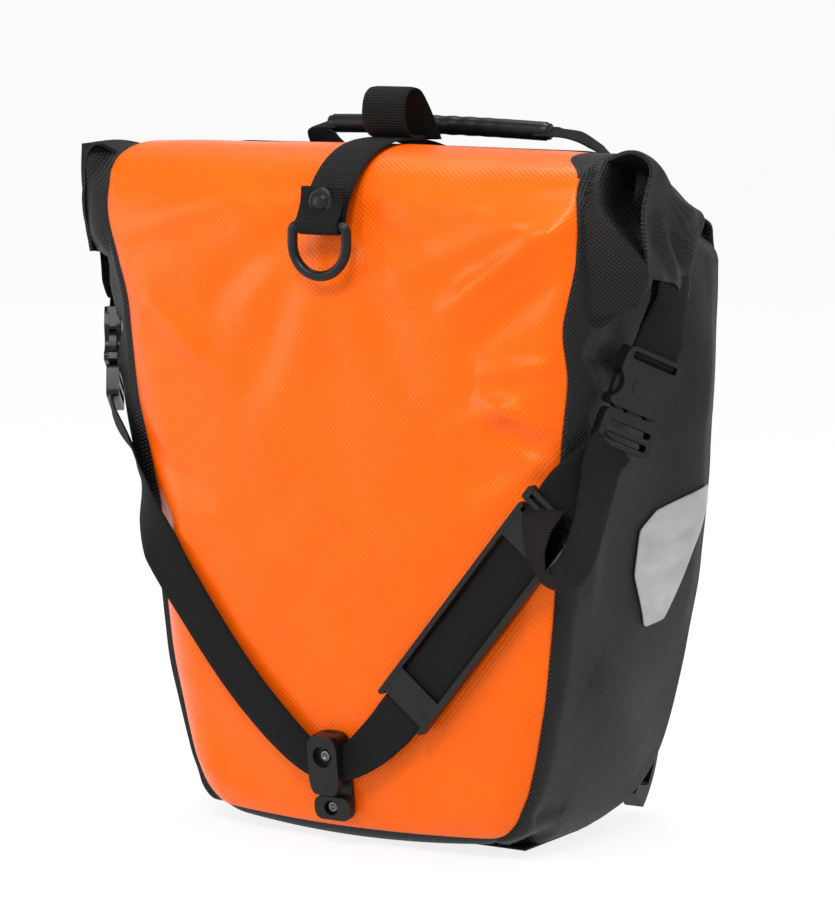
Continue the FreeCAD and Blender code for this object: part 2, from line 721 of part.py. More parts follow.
def build_rack_hook(side, word):
    """Hook over the rack tube with its insert, its latch lever and the lever's pin."""
    middle = f"{side} * dims.hook_spread"
    width = "dims.hook_width"
    wall = 6
    bridge = rod(f"{word}_bridge", f"dims.seat_radius + {wall}", width, (middle, tube_back, tube_level), "x")
    spine = block(f"{word}_spine", (width, 8.6, 62),
                  (middle, f"{rail_back} + dims.rail_thick + 0.1 + 4.3", "dims.tube_level - 17"))
    nose = block(f"{word}_nose", (width, wall, hook_foot),
                 (middle, f"{tube_back} + dims.seat_radius + {wall} / 2", f"{tube_level} - {hook_foot} / 2"))
    seat = rod(f"{word}_seat", "dims.seat_radius", 60, (middle, tube_back, tube_level), "x")
    gate = block(f"{word}_gate", (60, "2 * dims.seat_radius", 40), (middle, tube_back, f"{tube_level} - 20"))
    lever_room = block(f"{word}_room", (13, 40, 60), (middle, f"{tube_back} + 1", f"{tube_level} - 41"))
    pin_room = rod(f"{word}_pin_room", LEVER_PIN_RADIUS, 60, (middle, PIVOT_BACK, PIVOT_LEVEL), "x")
    blank = fuse(f"{word}_hook_blank", bridge, spine, nose)
    tools = fuse(f"{word}_hook_tools", seat, gate, lever_room, pin_room)
    sub_part(cut(f"{word}_rack_hook", blank, tools), f"rack_hook_{word}")

    sleeve = rod(f"{word}_sleeve", "dims.seat_radius - 0.05", width, (middle, tube_back, tube_level), "x")
    sleeve_legs = block(f"{word}_sleeve_legs", (width, "2 * dims.seat_radius - 0.1", 7),
                        (middle, tube_back, f"{tube_level} - 3.5"))
    bore = rod(f"{word}_bore", "dims.tube_radius", 60, (middle, tube_back, tube_level), "x")
    throat = block(f"{word}_throat", (60, "2 * dims.tube_radius", 30),
                   (middle, tube_back, f"{tube_level} - 15"))
    below = block(f"{word}_below", (60, 30, 20), (middle, tube_back, f"{tube_level} - 17"))
    sleeve_blank = fuse(f"{word}_sleeve_blank", sleeve, sleeve_legs)
    sleeve_tools = fuse(f"{word}_sleeve_tools", bore, throat, below)
    sub_part(cut(f"{word}_insert", sleeve_blank, sleeve_tools), f"rack_hook_insert_{word}")

    hub = rod(f"{word}_hub", 3.8, 12, (middle, PIVOT_BACK, PIVOT_LEVEL), "x")
    finger = block(f"{word}_finger", (12, 20, 5), (middle, f"{PIVOT_BACK} + 11", f"{PIVOT_LEVEL} + 1.2"))
    pin_hole = rod(f"{word}_pin_hole", LEVER_PIN_RADIUS + 0.05, 60, (middle, PIVOT_BACK, PIVOT_LEVEL), "x")
    lever = cut(f"{word}_lever", fuse(f"{word}_lever_blank", hub, finger), pin_hole)
    sub_part(lever, f"latch_lever_{word}")
    sub_part(rod(f"{word}_pin", LEVER_PIN_RADIUS, "dims.hook_width", (middle, PIVOT_BACK, PIVOT_LEVEL), "x"),
             f"lever_pin_{word}")


build_rack_hook(-1, "left")
build_rack_hook(1, "right")

clamp_heads = []
for number, side in enumerate((-1, 1)):
    centre = (f"{side} * (dims.hook_spread - 9.5)", "dims.depth_half + 0.2 + dims.rail_thick + 8.7 + 1.3",
              "dims.tube_level - 36")
    clamp_heads.append(rod(f"clamp_head_{number}", 2.6, 2.4, centre, "y"))
sub_part(group("hook_clamp_screws", *clamp_heads), "hook_clamp_screws")

# ---------------------------------------------------------------- carry handle

grip_blank = rod("grip_blank", "dims.grip_radius", "dims.grip_length",
                 (0, "dims.grip_back", "dims.grip_height"), "x")
grip_bore = block("grip_bore", ("dims.grip_length + 4", 8, 2.6), (0, "dims.grip_back", "dims.grip_height"))
sub_part(cut("handle_grip", grip_blank, grip_bore), "handle_grip")


def build_handle_web():
    """Flat web through the grip, back over the collar, with a round tail down to each rack hook."""
    back = size("grip_back")
    level = size("grip_height")
    spread = size("hook_spread")
    half = size("grip_length") / 2
    rear = Vector(spread + 7, 84, level - 23)
    tail_end = Vector(spread, size("tube_back") - 5, size("tube_level") + size("seat_radius") + 12)
    path = [
        (-rear.x, rear.y, rear.z), (-half - 6, back + 8, level - 1), (-half - 2, back, level),
        (half + 2, back, level), (half + 6, back + 8, level - 1), (rear.x, rear.y, rear.z)]
    stations = [(centre, (0, 0, 1)) for centre in path]
    web = strap_shape(stations, 7.6)
    for side in (-1, 1):
        start = Vector(side * rear.x, rear.y, rear.z)
        stop = Vector(side * tail_end.x, tail_end.y, tail_end.z)
        web = web.fuse(Part.makeSphere(3, start))
        web = web.fuse(Part.makeCylinder(3, start.distanceToPoint(stop), start, stop - start))
    return web


feature("handle_web", build_handle_web())

# ---------------------------------------------------------------- lower rail, carriage and hook

low_level = "dims.low_rail_level"
low_rail = block("lower_rail", ("dims.low_rail_length", 5, 16), (0, f"{rail_back} + 2.5", low_level))
sub_part(low_rail, "lower_rail")
low_screws = []
for number, side in enumerate((-1, 1)):
    low_screws.append(rod(
        f"low_head_{number}", "dims.head_radius", 2.4,
        (f"{side} * (dims.low_rail_length / 2 - 6)", f"{rail_back} + 6.3", low_level), "y"))
sub_part(group("lower_rail_screws", *low_screws), "lower_rail_screws")

CARRIAGE_ACROSS = 14
carriage_block = block("carriage_block", (26, 8.4, 26), (CARRIAGE_ACROSS, f"{rail_back} + 4.6", low_level))
carriage_slot = block("carriage_slot", (40, 10.8, 16.6), (CARRIAGE_ACROSS, f"{rail_back}", low_level))
hook_post = rod("hook_post", 5, 10, (CARRIAGE_ACROSS, f"{rail_back} + 13.7", low_level), "y")
sub_part(fuse("hook_carriage", cut("carriage_body", carriage_block, carriage_slot), hook_post),
         "hook_carriage")
low_hook_place = Placement(
    Vector(CARRIAGE_ACROSS, size("depth_half") + 0.2 + 14.6, size("low_rail_level")), Rotation())
plate_body(
    "lower_hook", "XZ_Plane",
    [(-9, -9), (9, -9), (9, 22), (6, 34), (-4, 42), (-19, 42), (-24, 36), (-24, 26), (-17, 26),
     (-16, 33), (-9, 33), (-9, 20)],
    8, low_hook_place, holes=[(0, 0, 5.1)])

# ---------------------------------------------------------------- checks and export


doc.recompute()
for item in doc.Objects:
    if "Invalid" in item.State or "Error" in item.State:
        raise RuntimeError(f"{item.Label} did not build: {item.State}")
for item in SUB_PARTS:
    if item.Shape.isNull() or not item.Shape.isValid() or not item.Shape.Solids:
        raise RuntimeError(f"{item.Label} has no valid solid")

os.makedirs("parts", exist_ok=True)
for item in SUB_PARTS:
    item.Shape.exportStep(f"parts/{item.Label}.step")
print(len(SUB_PARTS), "sub-parts written")
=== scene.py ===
"""Looks of a roll-top pannier bag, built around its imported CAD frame.

Tables and shapes are in millimetres, and piece() turns them into Blender's metres.
"""
import bmesh
import bpy
import json
import math
import numpy as np
from mathutils import Matrix, Vector, noise
from mathutils.geometry import tessellate_polygon


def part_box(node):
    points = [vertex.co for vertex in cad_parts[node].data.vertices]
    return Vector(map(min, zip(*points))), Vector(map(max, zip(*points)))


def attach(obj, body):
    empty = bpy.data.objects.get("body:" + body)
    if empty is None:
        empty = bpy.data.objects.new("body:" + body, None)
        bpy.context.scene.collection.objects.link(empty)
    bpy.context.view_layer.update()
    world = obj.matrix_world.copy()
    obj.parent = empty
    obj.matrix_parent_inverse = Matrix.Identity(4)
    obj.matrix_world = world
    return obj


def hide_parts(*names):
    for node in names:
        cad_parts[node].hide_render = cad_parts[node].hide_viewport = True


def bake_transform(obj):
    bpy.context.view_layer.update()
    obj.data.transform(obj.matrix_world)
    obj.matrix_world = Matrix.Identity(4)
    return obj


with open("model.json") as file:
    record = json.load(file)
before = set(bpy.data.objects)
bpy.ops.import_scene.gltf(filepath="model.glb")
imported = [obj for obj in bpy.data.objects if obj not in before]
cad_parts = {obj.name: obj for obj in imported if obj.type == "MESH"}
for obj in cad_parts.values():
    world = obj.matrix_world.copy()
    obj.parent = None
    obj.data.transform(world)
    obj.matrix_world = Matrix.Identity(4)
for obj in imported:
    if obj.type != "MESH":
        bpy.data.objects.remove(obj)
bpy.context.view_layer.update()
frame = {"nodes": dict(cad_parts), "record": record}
MM = 0.001
SIDES = (("left", -1), ("right", 1))
HANDS = (-1, 1)
scene = bpy.context.scene


# ---- small helpers

def ease(value, low, high):
    """0 below low, 1 above high, smooth between; works on numbers and arrays."""
    share = np.clip((value - low) / (high - low), 0, 1)
    return share * share * (3 - 2 * share)


def bump(distance, reach):
    """1 at distance 0, falling smoothly to 0 at reach."""
    return 1 - ease(np.abs(distance), 0, reach)


def points_of(*coordinates):
    """Points from arrays of their coordinates, in the arrays' own layout."""
    return np.stack(np.broadcast_arrays(*coordinates), axis=-1)


def unit(rows):
    """Rows scaled to length 1."""
    return rows / np.linalg.norm(rows, axis=1)[:, None]


def run_length(line):
    """Way travelled along a line at each of its points."""
    return np.cumsum(np.linalg.norm(np.diff(line, axis=0, prepend=line[:1]), axis=1))


def curve_through(points, count):
    """Evenly spaced points on a smooth line through a few given ones (rows of numbers)."""
    knots = np.array(points, float)
    gaps = np.linalg.norm(np.diff(knots, axis=0), axis=1)
    along = np.concatenate([[0], np.cumsum(np.sqrt(gaps))])
    slopes = np.gradient(knots, along, axis=0)
    fine = np.linspace(0, along[-1], count * 8)
    cell = np.clip(np.searchsorted(along, fine, side="right") - 1, 0, len(knots) - 2)
    width = (along[cell + 1] - along[cell])[:, None]
    share = ((fine - along[cell]) / width[:, 0])[:, None]
    a, b = knots[cell], knots[cell + 1]
    da, db = slopes[cell] * width, slopes[cell + 1] * width
    line = (a * (1 + 2 * share) * (1 - share) ** 2 + da * share * (1 - share) ** 2
            + b * share ** 2 * (3 - 2 * share) + db * share ** 2 * (share - 1))
    lengths = run_length(line)
    even = np.linspace(0, lengths[-1], count)
    return points_of(*(np.interp(even, lengths, column) for column in line.T))


def box_mm(node):
    """Lowest and highest corner of a CAD node."""
    return [Vector(corner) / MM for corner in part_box(node)]


def add_object(name, data):
    item = bpy.data.objects.new(name, data)
    scene.collection.objects.link(item)
    return item


def piece(name, verts, faces, slot, body="sack", replaces=(), uv=None, material=None):
    """A finished mesh that rides on a body, takes a slot's finish and stands for CAD nodes."""
    mesh = bpy.data.meshes.new(name)
    mesh.from_pydata((np.asarray(verts, float) * MM).tolist(), [], [tuple(int(i) for i in f) for f in faces])
    mesh.validate()
    if uv is not None:
        layer = mesh.uv_layers.new(name="UVMap")
        corners = np.array([loop.vertex_index for loop in mesh.loops])
        layer.data.foreach_set("uv", (np.asarray(uv) * MM).astype(np.float32)[corners].ravel())
    mesh.shade_smooth()
    mesh.materials.append(material or SLOT_MATERIALS[slot])
    item = add_object(name, mesh)
    if body:
        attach(item, body)
    if replaces:
        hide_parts(*replaces)
    return item


def grid_faces(rows, columns, closed=False, looped=False):
    """Quads of a grid whose points run along columns first; closed joins its sides, looped its ends."""
    i, j = np.meshgrid(np.arange(rows if looped else rows - 1),
                       np.arange(columns if closed else columns - 1), indexing="ij")
    below, after = (i + 1) % rows, (j + 1) % columns
    return np.stack([i * columns + j, i * columns + after, below * columns + after, below * columns + j],
                    axis=-1).reshape(-1, 4)


def capped_faces(rows, columns):
    """Faces of a tube closed at both ends."""
    last = (rows - 1) * columns
    return [*grid_faces(rows, columns, closed=True), range(columns)[::-1], range(last, last + columns)]


def modify(item, kind, **settings):
    modifier = item.modifiers.new(kind.title(), kind)
    for key, value in settings.items():
        setattr(modifier, key, value)


def smooth_noise(points, scale, seed):
    """Soft noise from -1 to 1 at rows of two or three coordinates."""
    shift = Vector((seed * 3.7, seed * 1.3, seed * 2.9))
    return np.array([noise.noise(Vector((*point, 0)[:3]) * scale * MM + shift) for point in points])


# ---- materials

class Finish:
    """A material whose nodes are added call by call."""

    def __init__(self, name):
        self.material = bpy.data.materials.new(name)
        self.material.use_nodes = True
        self.tree = self.material.node_tree
        self.shader = self.tree.nodes["Principled BSDF"]

    def node(self, kind, inputs, **settings):
        """A new node; each input is linked if its value is a socket, and otherwise set."""
        made = self.tree.nodes.new("ShaderNode" + kind)
        for key, value in settings.items():
            setattr(made, key, value)
        for socket, value in inputs.items():
            if isinstance(value, bpy.types.NodeSocket):
                self.tree.links.new(value, made.inputs[socket])
            else:
                made.inputs[socket].default_value = value
        return made

    def mapped(self, source, scale=(1, 1, 1), turn=0.0):
        place = self.node("TexCoord", {}).outputs[source]
        inputs = {"Vector": place, "Scale": scale, "Rotation": (0, 0, turn)}
        return self.node("Mapping", inputs).outputs["Vector"]

    def wave(self, vector, scale, direction, distortion):
        inputs = {"Vector": vector, "Scale": scale, "Distortion": distortion, "Detail": 1.0}
        return self.node("TexWave", inputs, bands_direction=direction).outputs["Fac"]

    def cloud(self, vector, scale, detail=4.0, roughness=0.5):
        inputs = {"Vector": vector, "Scale": scale, "Detail": detail, "Roughness": roughness}
        return self.node("TexNoise", inputs).outputs["Fac"]

    def combine(self, first, second, operation="MULTIPLY"):
        return self.node("Math", {0: first, 1: second}, operation=operation).outputs["Value"]

    def tones(self, factor, low, dark, high, light):
        """Base colour: dark where the factor is low, light where it is high."""
        node = self.node("ValToRGB", {"Fac": factor})
        for element, position, colour in zip(node.color_ramp.elements, (low, high), (dark, light)):
            element.position = position
            element.color = (*colour, 1)
        self.link("Base Color", node.outputs["Color"])

    def roughness(self, factor, low, high):
        node = self.node("MapRange", {"Value": factor, "To Min": low, "To Max": high})
        self.link("Roughness", node.outputs["Result"])

    def bumps(self, *layers):
        """Chain of bump nodes from (height socket, strength, distance) layers."""
        normal = {}
        for height, strength, distance in layers:
            node = self.node("Bump", {"Height": height, "Strength": strength, "Distance": distance, **normal})
            normal = {"Normal": node.outputs["Normal"]}
        self.link("Normal", normal["Normal"])

    def link(self, socket, value):
        self.tree.links.new(value, self.shader.inputs[socket])

    def constant(self, socket, value):
        self.shader.inputs[socket].default_value = value


def grey(value, blue=None):
    """A grey, with its own blue share where it isn't neutral."""
    return (value, value, value if blue is None else blue)


def coated_fabric(name, dark, light, roughness, coat, thread, relief, specular, tint, thread_shade_share):
    """Coated cloth: crossed threads pressed through the coating, soft mottling and creases; its colour holds
    painted shade between the threads and painted highlight on them.
    """
    fabric = Finish(name)
    plain = fabric.mapped("UV")
    slant = fabric.mapped("UV", turn=math.radians(38))
    weave = fabric.combine(fabric.wave(slant, thread, "X", 0.5), fabric.wave(slant, thread, "Y", 0.5))
    mottle = fabric.cloud(plain, 14, 5.0, 0.6)
    creases = fabric.cloud(plain, 45, 3.0, 0.55)
    # colour: random mottling mixed with the weave, which paints shade between the threads and highlight on
    # their tops
    shade = fabric.combine(fabric.combine(mottle, 1 - thread_shade_share), fabric.combine(weave, thread_shade_share), "ADD")
    fabric.tones(shade, 0.2, dark, 0.75, light)
    fabric.roughness(mottle, roughness - 0.05, roughness + 0.08)
    fabric.constant("Coat Weight", coat)
    fabric.constant("Coat Roughness", 0.24)
    fabric.constant("Specular IOR Level", specular)
    fabric.constant("Specular Tint", (*tint, 1))
    fabric.bumps((creases, 0.14, 0.004), (weave, relief, 0.0006))
    return fabric.material


def webbing(name, dark, light):
    """Woven strap: ribs across its length and finer threads along it, with painted shade between them and
    painted highlight on them.
    """
    strap = Finish(name)
    flat = strap.mapped("UV")
    ribs = strap.wave(flat, 190, "Y", 0.3)
    threads = strap.wave(flat, 420, "X", 0.5)
    both = strap.combine(ribs, strap.combine(threads, 0.5), "ADD")
    fuzz = strap.cloud(flat, 900, 3.0)
    # colour follows the rib and thread heights: painted shade between them, painted highlight on their tops
    strap.tones(both, 0.1, dark, 1.0, light)
    strap.roughness(fuzz, 0.62, 0.85)
    strap.constant("Specular IOR Level", 0.2)
    strap.bumps((both, 0.7, 0.0009), (fuzz, 0.2, 0.0003))
    return strap.material


def moulded(name, dark, light, roughness):
    """Moulded plastic with a fine spark-eroded grain and slightly rubbed tone."""
    plastic = Finish(name)
    place = plastic.mapped("Object")
    grain = plastic.cloud(place, 1500, 2.0)
    wear = plastic.cloud(place, 40, 5.0, 0.6)
    plastic.tones(wear, 0.3, dark, 0.75, light)
    plastic.roughness(wear, roughness - 0.08, roughness + 0.1)
    plastic.constant("Specular IOR Level", 0.27)
    plastic.bumps((grain, 0.18, 0.0003))
    return plastic.material


def metal(name, dark, light, stretch, scale, detail, metallic, roughness, relief):
    """Brushed or anodised metal: fine streaks along one direction; stops, ranges and relief are pairs."""
    part = Finish(name)
    streak = part.cloud(part.mapped("Object", scale=stretch), scale, detail)
    part.tones(streak, *dark, *light)
    part.constant("Metallic", metallic)
    part.roughness(streak, *roughness)
    part.bumps((streak, *relief))
    return part.material


def screw_steel(name, dark, light):
    return metal(name, (0.3, grey(dark)), (0.7, grey(light)), (1, 1, 12), 400, 3.0, 1.0, (0.25, 0.42),
                 (0.08, 0.0002))


def reflective(name):
    """Silver reflective cloth with soft creases, painted shade in their hollows and painted highlight on
    their ridges.
    """
    patch = Finish(name)
    beads = patch.cloud(patch.mapped("Object"), 2400, 2.0)
    creases = patch.cloud(patch.mapped("Object", scale=(1, 1, 2.4)), 26, 4.0, 0.6)
    # colour follows the crease heights: painted shade in the hollows, painted highlight on the ridges
    patch.tones(creases, 0.3, grey(0.33, 0.34), 0.75, grey(0.50, 0.51))
    patch.constant("Metallic", 0.25)
    patch.roughness(creases, 0.42, 0.6)
    patch.bumps((creases, 0.5, 0.004), (beads, 0.12, 0.0002))
    return patch.material


SLOT_MATERIALS = {
    "orange_fabric": coated_fabric(
        "orange_coated", (0.80, 0.094, 0.0005), (0.97, 0.128, 0.001), roughness=0.33, coat=0.15, thread=131,
        relief=0.34, specular=0.62, tint=(1.0, 0.46, 0.10), thread_shade_share=0.4),
    "black_fabric": coated_fabric(
        "black_coated", grey(0.0012, 0.0013), (0.0235, 0.0232, 0.0235), roughness=0.52, coat=0.0, thread=175,
        relief=1.0, specular=0.24, tint=(1, 1, 1), thread_shade_share=0.66),
    "webbing": webbing("black_webbing", grey(0.0010, 0.0011), (0.0070, 0.0068, 0.0070)),
    "moulding": moulded("dark_plastic", grey(0.004, 0.0042), grey(0.009, 0.0092), 0.34),
    "insert": moulded("grey_liner", grey(0.10, 0.105), grey(0.16, 0.165), 0.55),
    "sheet": moulded("pressed_sheet", grey(0.05, 0.052), grey(0.08, 0.082), 0.6),
    "steel": screw_steel("brushed_screws", 0.34, 0.52),
    "rail": metal("anodised_rail", (0.3, grey(0.028, 0.03)), (0.75, grey(0.055, 0.06)), (1, 8, 8), 120, 4.0,
                  0.6, (0.34, 0.5), (0.06, 0.0003)),
    "reflector": reflective("reflective_patch"),
}


# ---- the sack's shape

# half width at heights up the sack on each side; the strap draws the left side in
WIDTH_KNOTS = {
    1: [(0, 104), (6, 113), (14, 119), (30, 126), (60, 134.5), (100, 144.5), (150, 152), (215, 158),
        (300, 161.5), (345, 163), (380, 164.5), (400, 164), (430, 163)],
    -1: [(0, 99), (6, 108), (14, 114), (30, 120), (60, 129), (100, 138), (150, 144.5), (195, 147.5),
         (222, 152), (262, 161), (320, 166), (345, 169), (375, 176), (400, 181), (430, 183)],
}
# radius of the rounded upright edge beside the front
CORNER_KNOTS = {
    1: [(0, 18), (60, 22), (200, 25), (320, 25), (390, 16), (430, 14)],
    -1: [(0, 26), (60, 36), (180, 42), (260, 34), (325, 26), (370, 13), (430, 12)],
}
# how far short of the full width the orange panel stops
SEAM_KNOTS = {
    1: [(0, 16), (10, 8), (16, 5), (24, 8), (34, 5), (60, 5), (150, 8), (248, 10), (290, 8), (317, 12.5),
        (352, 6), (380, 7), (400, 11), (430, 14)],
    -1: [(0, 14), (10, 7), (40, 4), (150, 5), (230, 8), (275, 10), (305, 11), (325, 12.5), (340, 7),
         (360, 5), (386, 3), (430, 3)],
}
# side view of the middle of the front, from the foot over the rolled mouth to the back
FRONT_PROFILE = [(-40, 0.9), (-64, 1.0), (-75, 5.5), (-82, 17), (-87.5, 46), (-91.5, 98), (-93, 160),
                 (-93.5, 230), (-93, 300), (-92, 345), (-88.5, 374), (-80, 395), (-66, 408), (-48, 415),
                 (-28, 417), (-4, 414.5), (30, 405), (60, 395.5), (84, 387)]
REAR_PROFILE = [(-40, 0.9), (-10, 0.9), (25, 0.9), (45, 3.9), (67.5, 17.5), (81, 40), (84.6, 62), (85, 130),
                (85, 250), (85, 360), (85, 380), (84, 387)]
COLLAR_PROFILE = [(84, 387), (60, 395.5), (30, 405), (0, 414)]
PROFILE_POINTS = 700
REAR_RADIUS = 6
# way along the front's profile before its face begins
FOOT_LENGTH = 33
# how far the middle of the front stands out beyond its edges, on its face and over the roll
FACE_BOW = 8.0
TOP_BOW = 2.5


def knot_value(table, side, height):
    """Value of a side's table at a height, rounded off over a short reach."""
    heights, values = np.array(table[side], float).T
    reach = np.linspace(-9, 9, 7)
    return sum(np.interp(height + step, heights, values) for step in reach) / len(reach)


def quarter_round(inset, radius):
    """Fall of a quarter round at an inset from its edge; the same formula turns a fall back into an inset."""
    left = np.clip(1 - inset / radius, 0, 1)
    return radius * (1 - np.sqrt(np.clip(1 - left ** 2, 0, 1)))


def on_top(level):
    """0 on the face of the sack, 1 where the cloth lies over the roll."""
    return ease(level, 392, 414)


def edge_bow(level):
    """How far the front's edges lie behind its middle."""
    return FACE_BOW + (TOP_BOW - FACE_BOW) * on_top(level)


def crease(points, start, stop, width, height):
    """A soft fold along a line of the flat cloth: a ridge that fades at both ends."""
    direction = np.subtract(stop, start)
    length = np.linalg.norm(direction)
    offset = points - np.array(start, float)
    place = offset @ direction / length
    across = (offset[:, 1] * direction[0] - offset[:, 0] * direction[1]) / length
    fade = np.sin(np.clip(place / length, 0, 1) * math.pi) ** 0.7
    inside = (place > 0) & (place < length)
    return np.where(inside, height * fade * np.exp(-(across / width) ** 2), 0)


def folded(points, folds):
    return sum(crease(points, *fold) for fold in folds)


# (start, stop, width, height) of the front's folds, in its own flat across and length
FRONT_FOLDS = [
    ((-12, 392), (-95, 330), 13, -3.4), ((-16, 380), (-70, 250), 15, -3.0),
    ((6, 392), (92, 352), 12, -3.2), ((6, 380), (62, 268), 16, -2.6),
    ((0, 350), (4, 215), 22, -2.4), ((60, 402), (160, 372), 10, 3.2),
    ((38, 352), (158, 398), 9, 2.6), ((-60, 400), (-160, 372), 11, 2.8),
    ((72, 262), (152, 292), 8, 3.2), ((84, 240), (150, 238), 9, -2.2),
    ((96, 218), (156, 262), 7, 1.8), ((-152, 252), (-84, 206), 9, -2.4),
    ((-150, 168), (-104, 192), 7, 2.2), ((-154, 340), (-92, 300), 13, 2.2),
    ((-120, 92), (-40, 38), 14, -2.2), ((118, 88), (46, 40), 14, -1.8),
    ((-132, 60), (-60, 24), 9, 1.8), ((128, 56), (60, 22), 9, 1.6),
    ((20, 170), (110, 228), 20, 1.8), ((-30, 150), (-120, 240), 22, 1.6),
    ((72, 330), (158, 392), 8, 5.4), ((82, 306), (158, 362), 9, -4.4), ((96, 286), (150, 268), 6, 3.6),
    ((104, 268), (154, 250), 6, -3.2), ((98, 300), (156, 306), 6, 3.4), ((-140, 330), (-62, 280), 8, 2.6),
    ((-150, 214), (-120, 188), 7, -3.6), ((-158, 196), (-112, 150), 8, 2.8),
]
# the same for the sides, in y and z
SIDE_FOLDS = [
    ((-84, 306), (-22, 296), 7, -6), ((-70, 372), (-52, 312), 8, 4), ((-40, 330), (-34, 240), 12, -5),
    ((-84, 285), (-30, 272), 8, 3.5), ((-66, 262), (-50, 150), 10, 3), ((-10, 330), (30, 200), 24, -4),
    ((20, 372), (76, 250), 18, 3.4), ((-40, 110), (60, 40), 22, 3.0), ((-80, 30), (-30, 22), 8, -3.5),
]
# the place on the front that the D-ring's strap pulls in
PULL_ACROSS, PULL_LENGTH, PULL_REACH = -2.5, 384, 60


def front_relief(across, length):
    """How far the front stands out from its smooth form."""
    flat = points_of(across, length)
    relief = folded(flat, FRONT_FOLDS)
    relief -= 2.6 * bump(np.hypot(across - PULL_ACROSS, length - PULL_LENGTH), PULL_REACH)
    return relief + 1.5 * smooth_noise(flat, 14, 1) + 0.8 * smooth_noise(flat, 34, 2)


def profile_frame(profile, count):
    """Points of a profile and the way to the right of its run: in from the front, out at the rear."""
    line = curve_through(profile, count)
    slope = unit(np.gradient(line, axis=0))
    return line, points_of(slope[:, 1], -slope[:, 0])


def stood_off(line, way, depth):
    """y and z of a grid whose rows start from a profile's points and go some depth along their way."""
    return np.moveaxis(line[:, None, :] + way[:, None, :] * depth[..., None], -1, 0)


def by_side(across, left, right):
    """Values of the left or the right side at each place across the front."""
    return np.where(across < 0, left, right)


def knots_by_side(table, across, level):
    return by_side(across, knot_value(table, -1, level), knot_value(table, 1, level))


def cloth(name, points, uv, replaces, flip, thickness, offset, slot="black_fabric"):
    """Cloth of some thickness over a grid of points."""
    rows, columns = points.shape[:2]
    faces = grid_faces(rows, columns)
    if flip:
        faces = faces[:, ::-1]
    item = piece(name, points.reshape(-1, 3), faces, slot, replaces=replaces, uv=uv.reshape(-1, 2))
    modify(item, "SOLIDIFY", thickness=thickness * MM, offset=offset)
    return item


def build_front(name, low, high, sink, slot, replaces):
    """Sheet over the front's profile between two heights, seam to seam; sink lays it under its neighbour."""
    rows, columns = 330, 261
    line, inward = profile_frame(FRONT_PROFILE, rows)
    keep = (line[:, 0] < 2) & (line[:, 1] > low) & (line[:, 1] < high)
    travelled = run_length(line)[keep]
    line, inward = line[keep], inward[keep]
    share = np.linspace(-1, 1, columns)
    share = (np.sign(share) * np.abs(share) ** 0.9)[None, :]
    level = line[:, 1][:, None]
    full = knots_by_side(WIDTH_KNOTS, share, level)
    reach = full - knots_by_side(SEAM_KNOTS, share, level)
    across = share * reach
    inset = quarter_round(full - np.abs(across), knots_by_side(CORNER_KNOTS, share, level))
    bow = edge_bow(level) * (across / full) ** 2
    length = travelled[:, None] - FOOT_LENGTH + np.zeros(columns)
    relief = front_relief(across.ravel(), (length + 8).ravel()).reshape(across.shape)
    relief *= 0.25 + 0.75 * ease(reach - np.abs(across), 0, 14)
    relief *= 1 - 0.6 * on_top(level)
    relief *= ease(level, 0, 40)
    y, z = stood_off(line, inward, inset + bow - relief + sink)
    cloth(name, points_of(across, y, z), points_of(across, length), replaces, flip=False, thickness=1.4,
          offset=-1, slot=slot)


def side_relief(y, z, side):
    """How far the side stands out from flat: a pinched hollow under the roll end, long soft folds."""
    flat = points_of(y, z)
    relief = folded(flat, SIDE_FOLDS)
    relief -= 34 * np.exp(-((y + 22) / 27) ** 2 - ((z - 388) / 38) ** 2)
    ridge_height = 8 if side > 0 else 22
    relief += ridge_height * np.exp(-((y + 66) / 14) ** 2 - ((z - 385) / 40) ** 2)
    relief += 3.4 * np.exp(-((y - 10) / 55) ** 2 - ((z - 120) / 90) ** 2)
    relief += 7 * ease(y, -10, 70) * ease(z, 90, 200) * (1 - 0.5 * ease(z, 320, 385))
    if side < 0:
        relief += 11 * np.exp(-((y + 50) / 26) ** 2) * ease(z, 182, 218) * (1 - ease(z, 322, 350))
    return relief + 1.8 * smooth_noise(flat, 13, 5 + side) + 0.8 * smooth_noise(flat, 32, 8 + side)


def nearest(points, line):
    """Distance from rows of flat points to a line's points, a batch at a time."""
    result = np.empty(len(points))
    batch = 4000
    for start in range(0, len(points), batch):
        part = slice(start, start + batch)
        gaps = points[part][:, None, :] - line[None, :, :]
        result[part] = np.sqrt((gaps ** 2).sum(axis=2).min(axis=1))
    return result


def side_shape(side, y, z):
    """Distance of the side from the middle plane at rows of y and z."""
    from_front, from_rear = (nearest(points_of(y, z), curve_through(profile, PROFILE_POINTS))
                             for profile in (FRONT_PROFILE, REAR_PROFILE))
    radius = knot_value(CORNER_KNOTS, side, z)
    bow = FACE_BOW * (1 - on_top(z)) * (1 - np.clip(from_front / 60, 0, 1)) ** 2
    short = quarter_round(np.clip(from_front - bow, 0, None), radius) + quarter_round(from_rear, REAR_RADIUS)
    relief = side_relief(y, z, side)
    relief *= ease(from_front, 12, 30) * (0.45 + 0.55 * ease(from_rear, 0, 22)) * ease(z, 0, 30)
    return knot_value(WIDTH_KNOTS, side, z) - short + relief


def droop(across, y, z):
    """Heights lowered at the rear shoulders, where the collar slopes down to the back corners."""
    shoulder = 21 * ease(np.abs(across), 90, 165) * ease(y, -5, 80) * ease(z, 325, 388)
    return z - shoulder - 6 * ease(np.abs(across), 118, 160) * ease(z, 398, 411) * ease(y, -12, 0)


TUCK_STEPS = 9
TUCK_STEP = 4.5


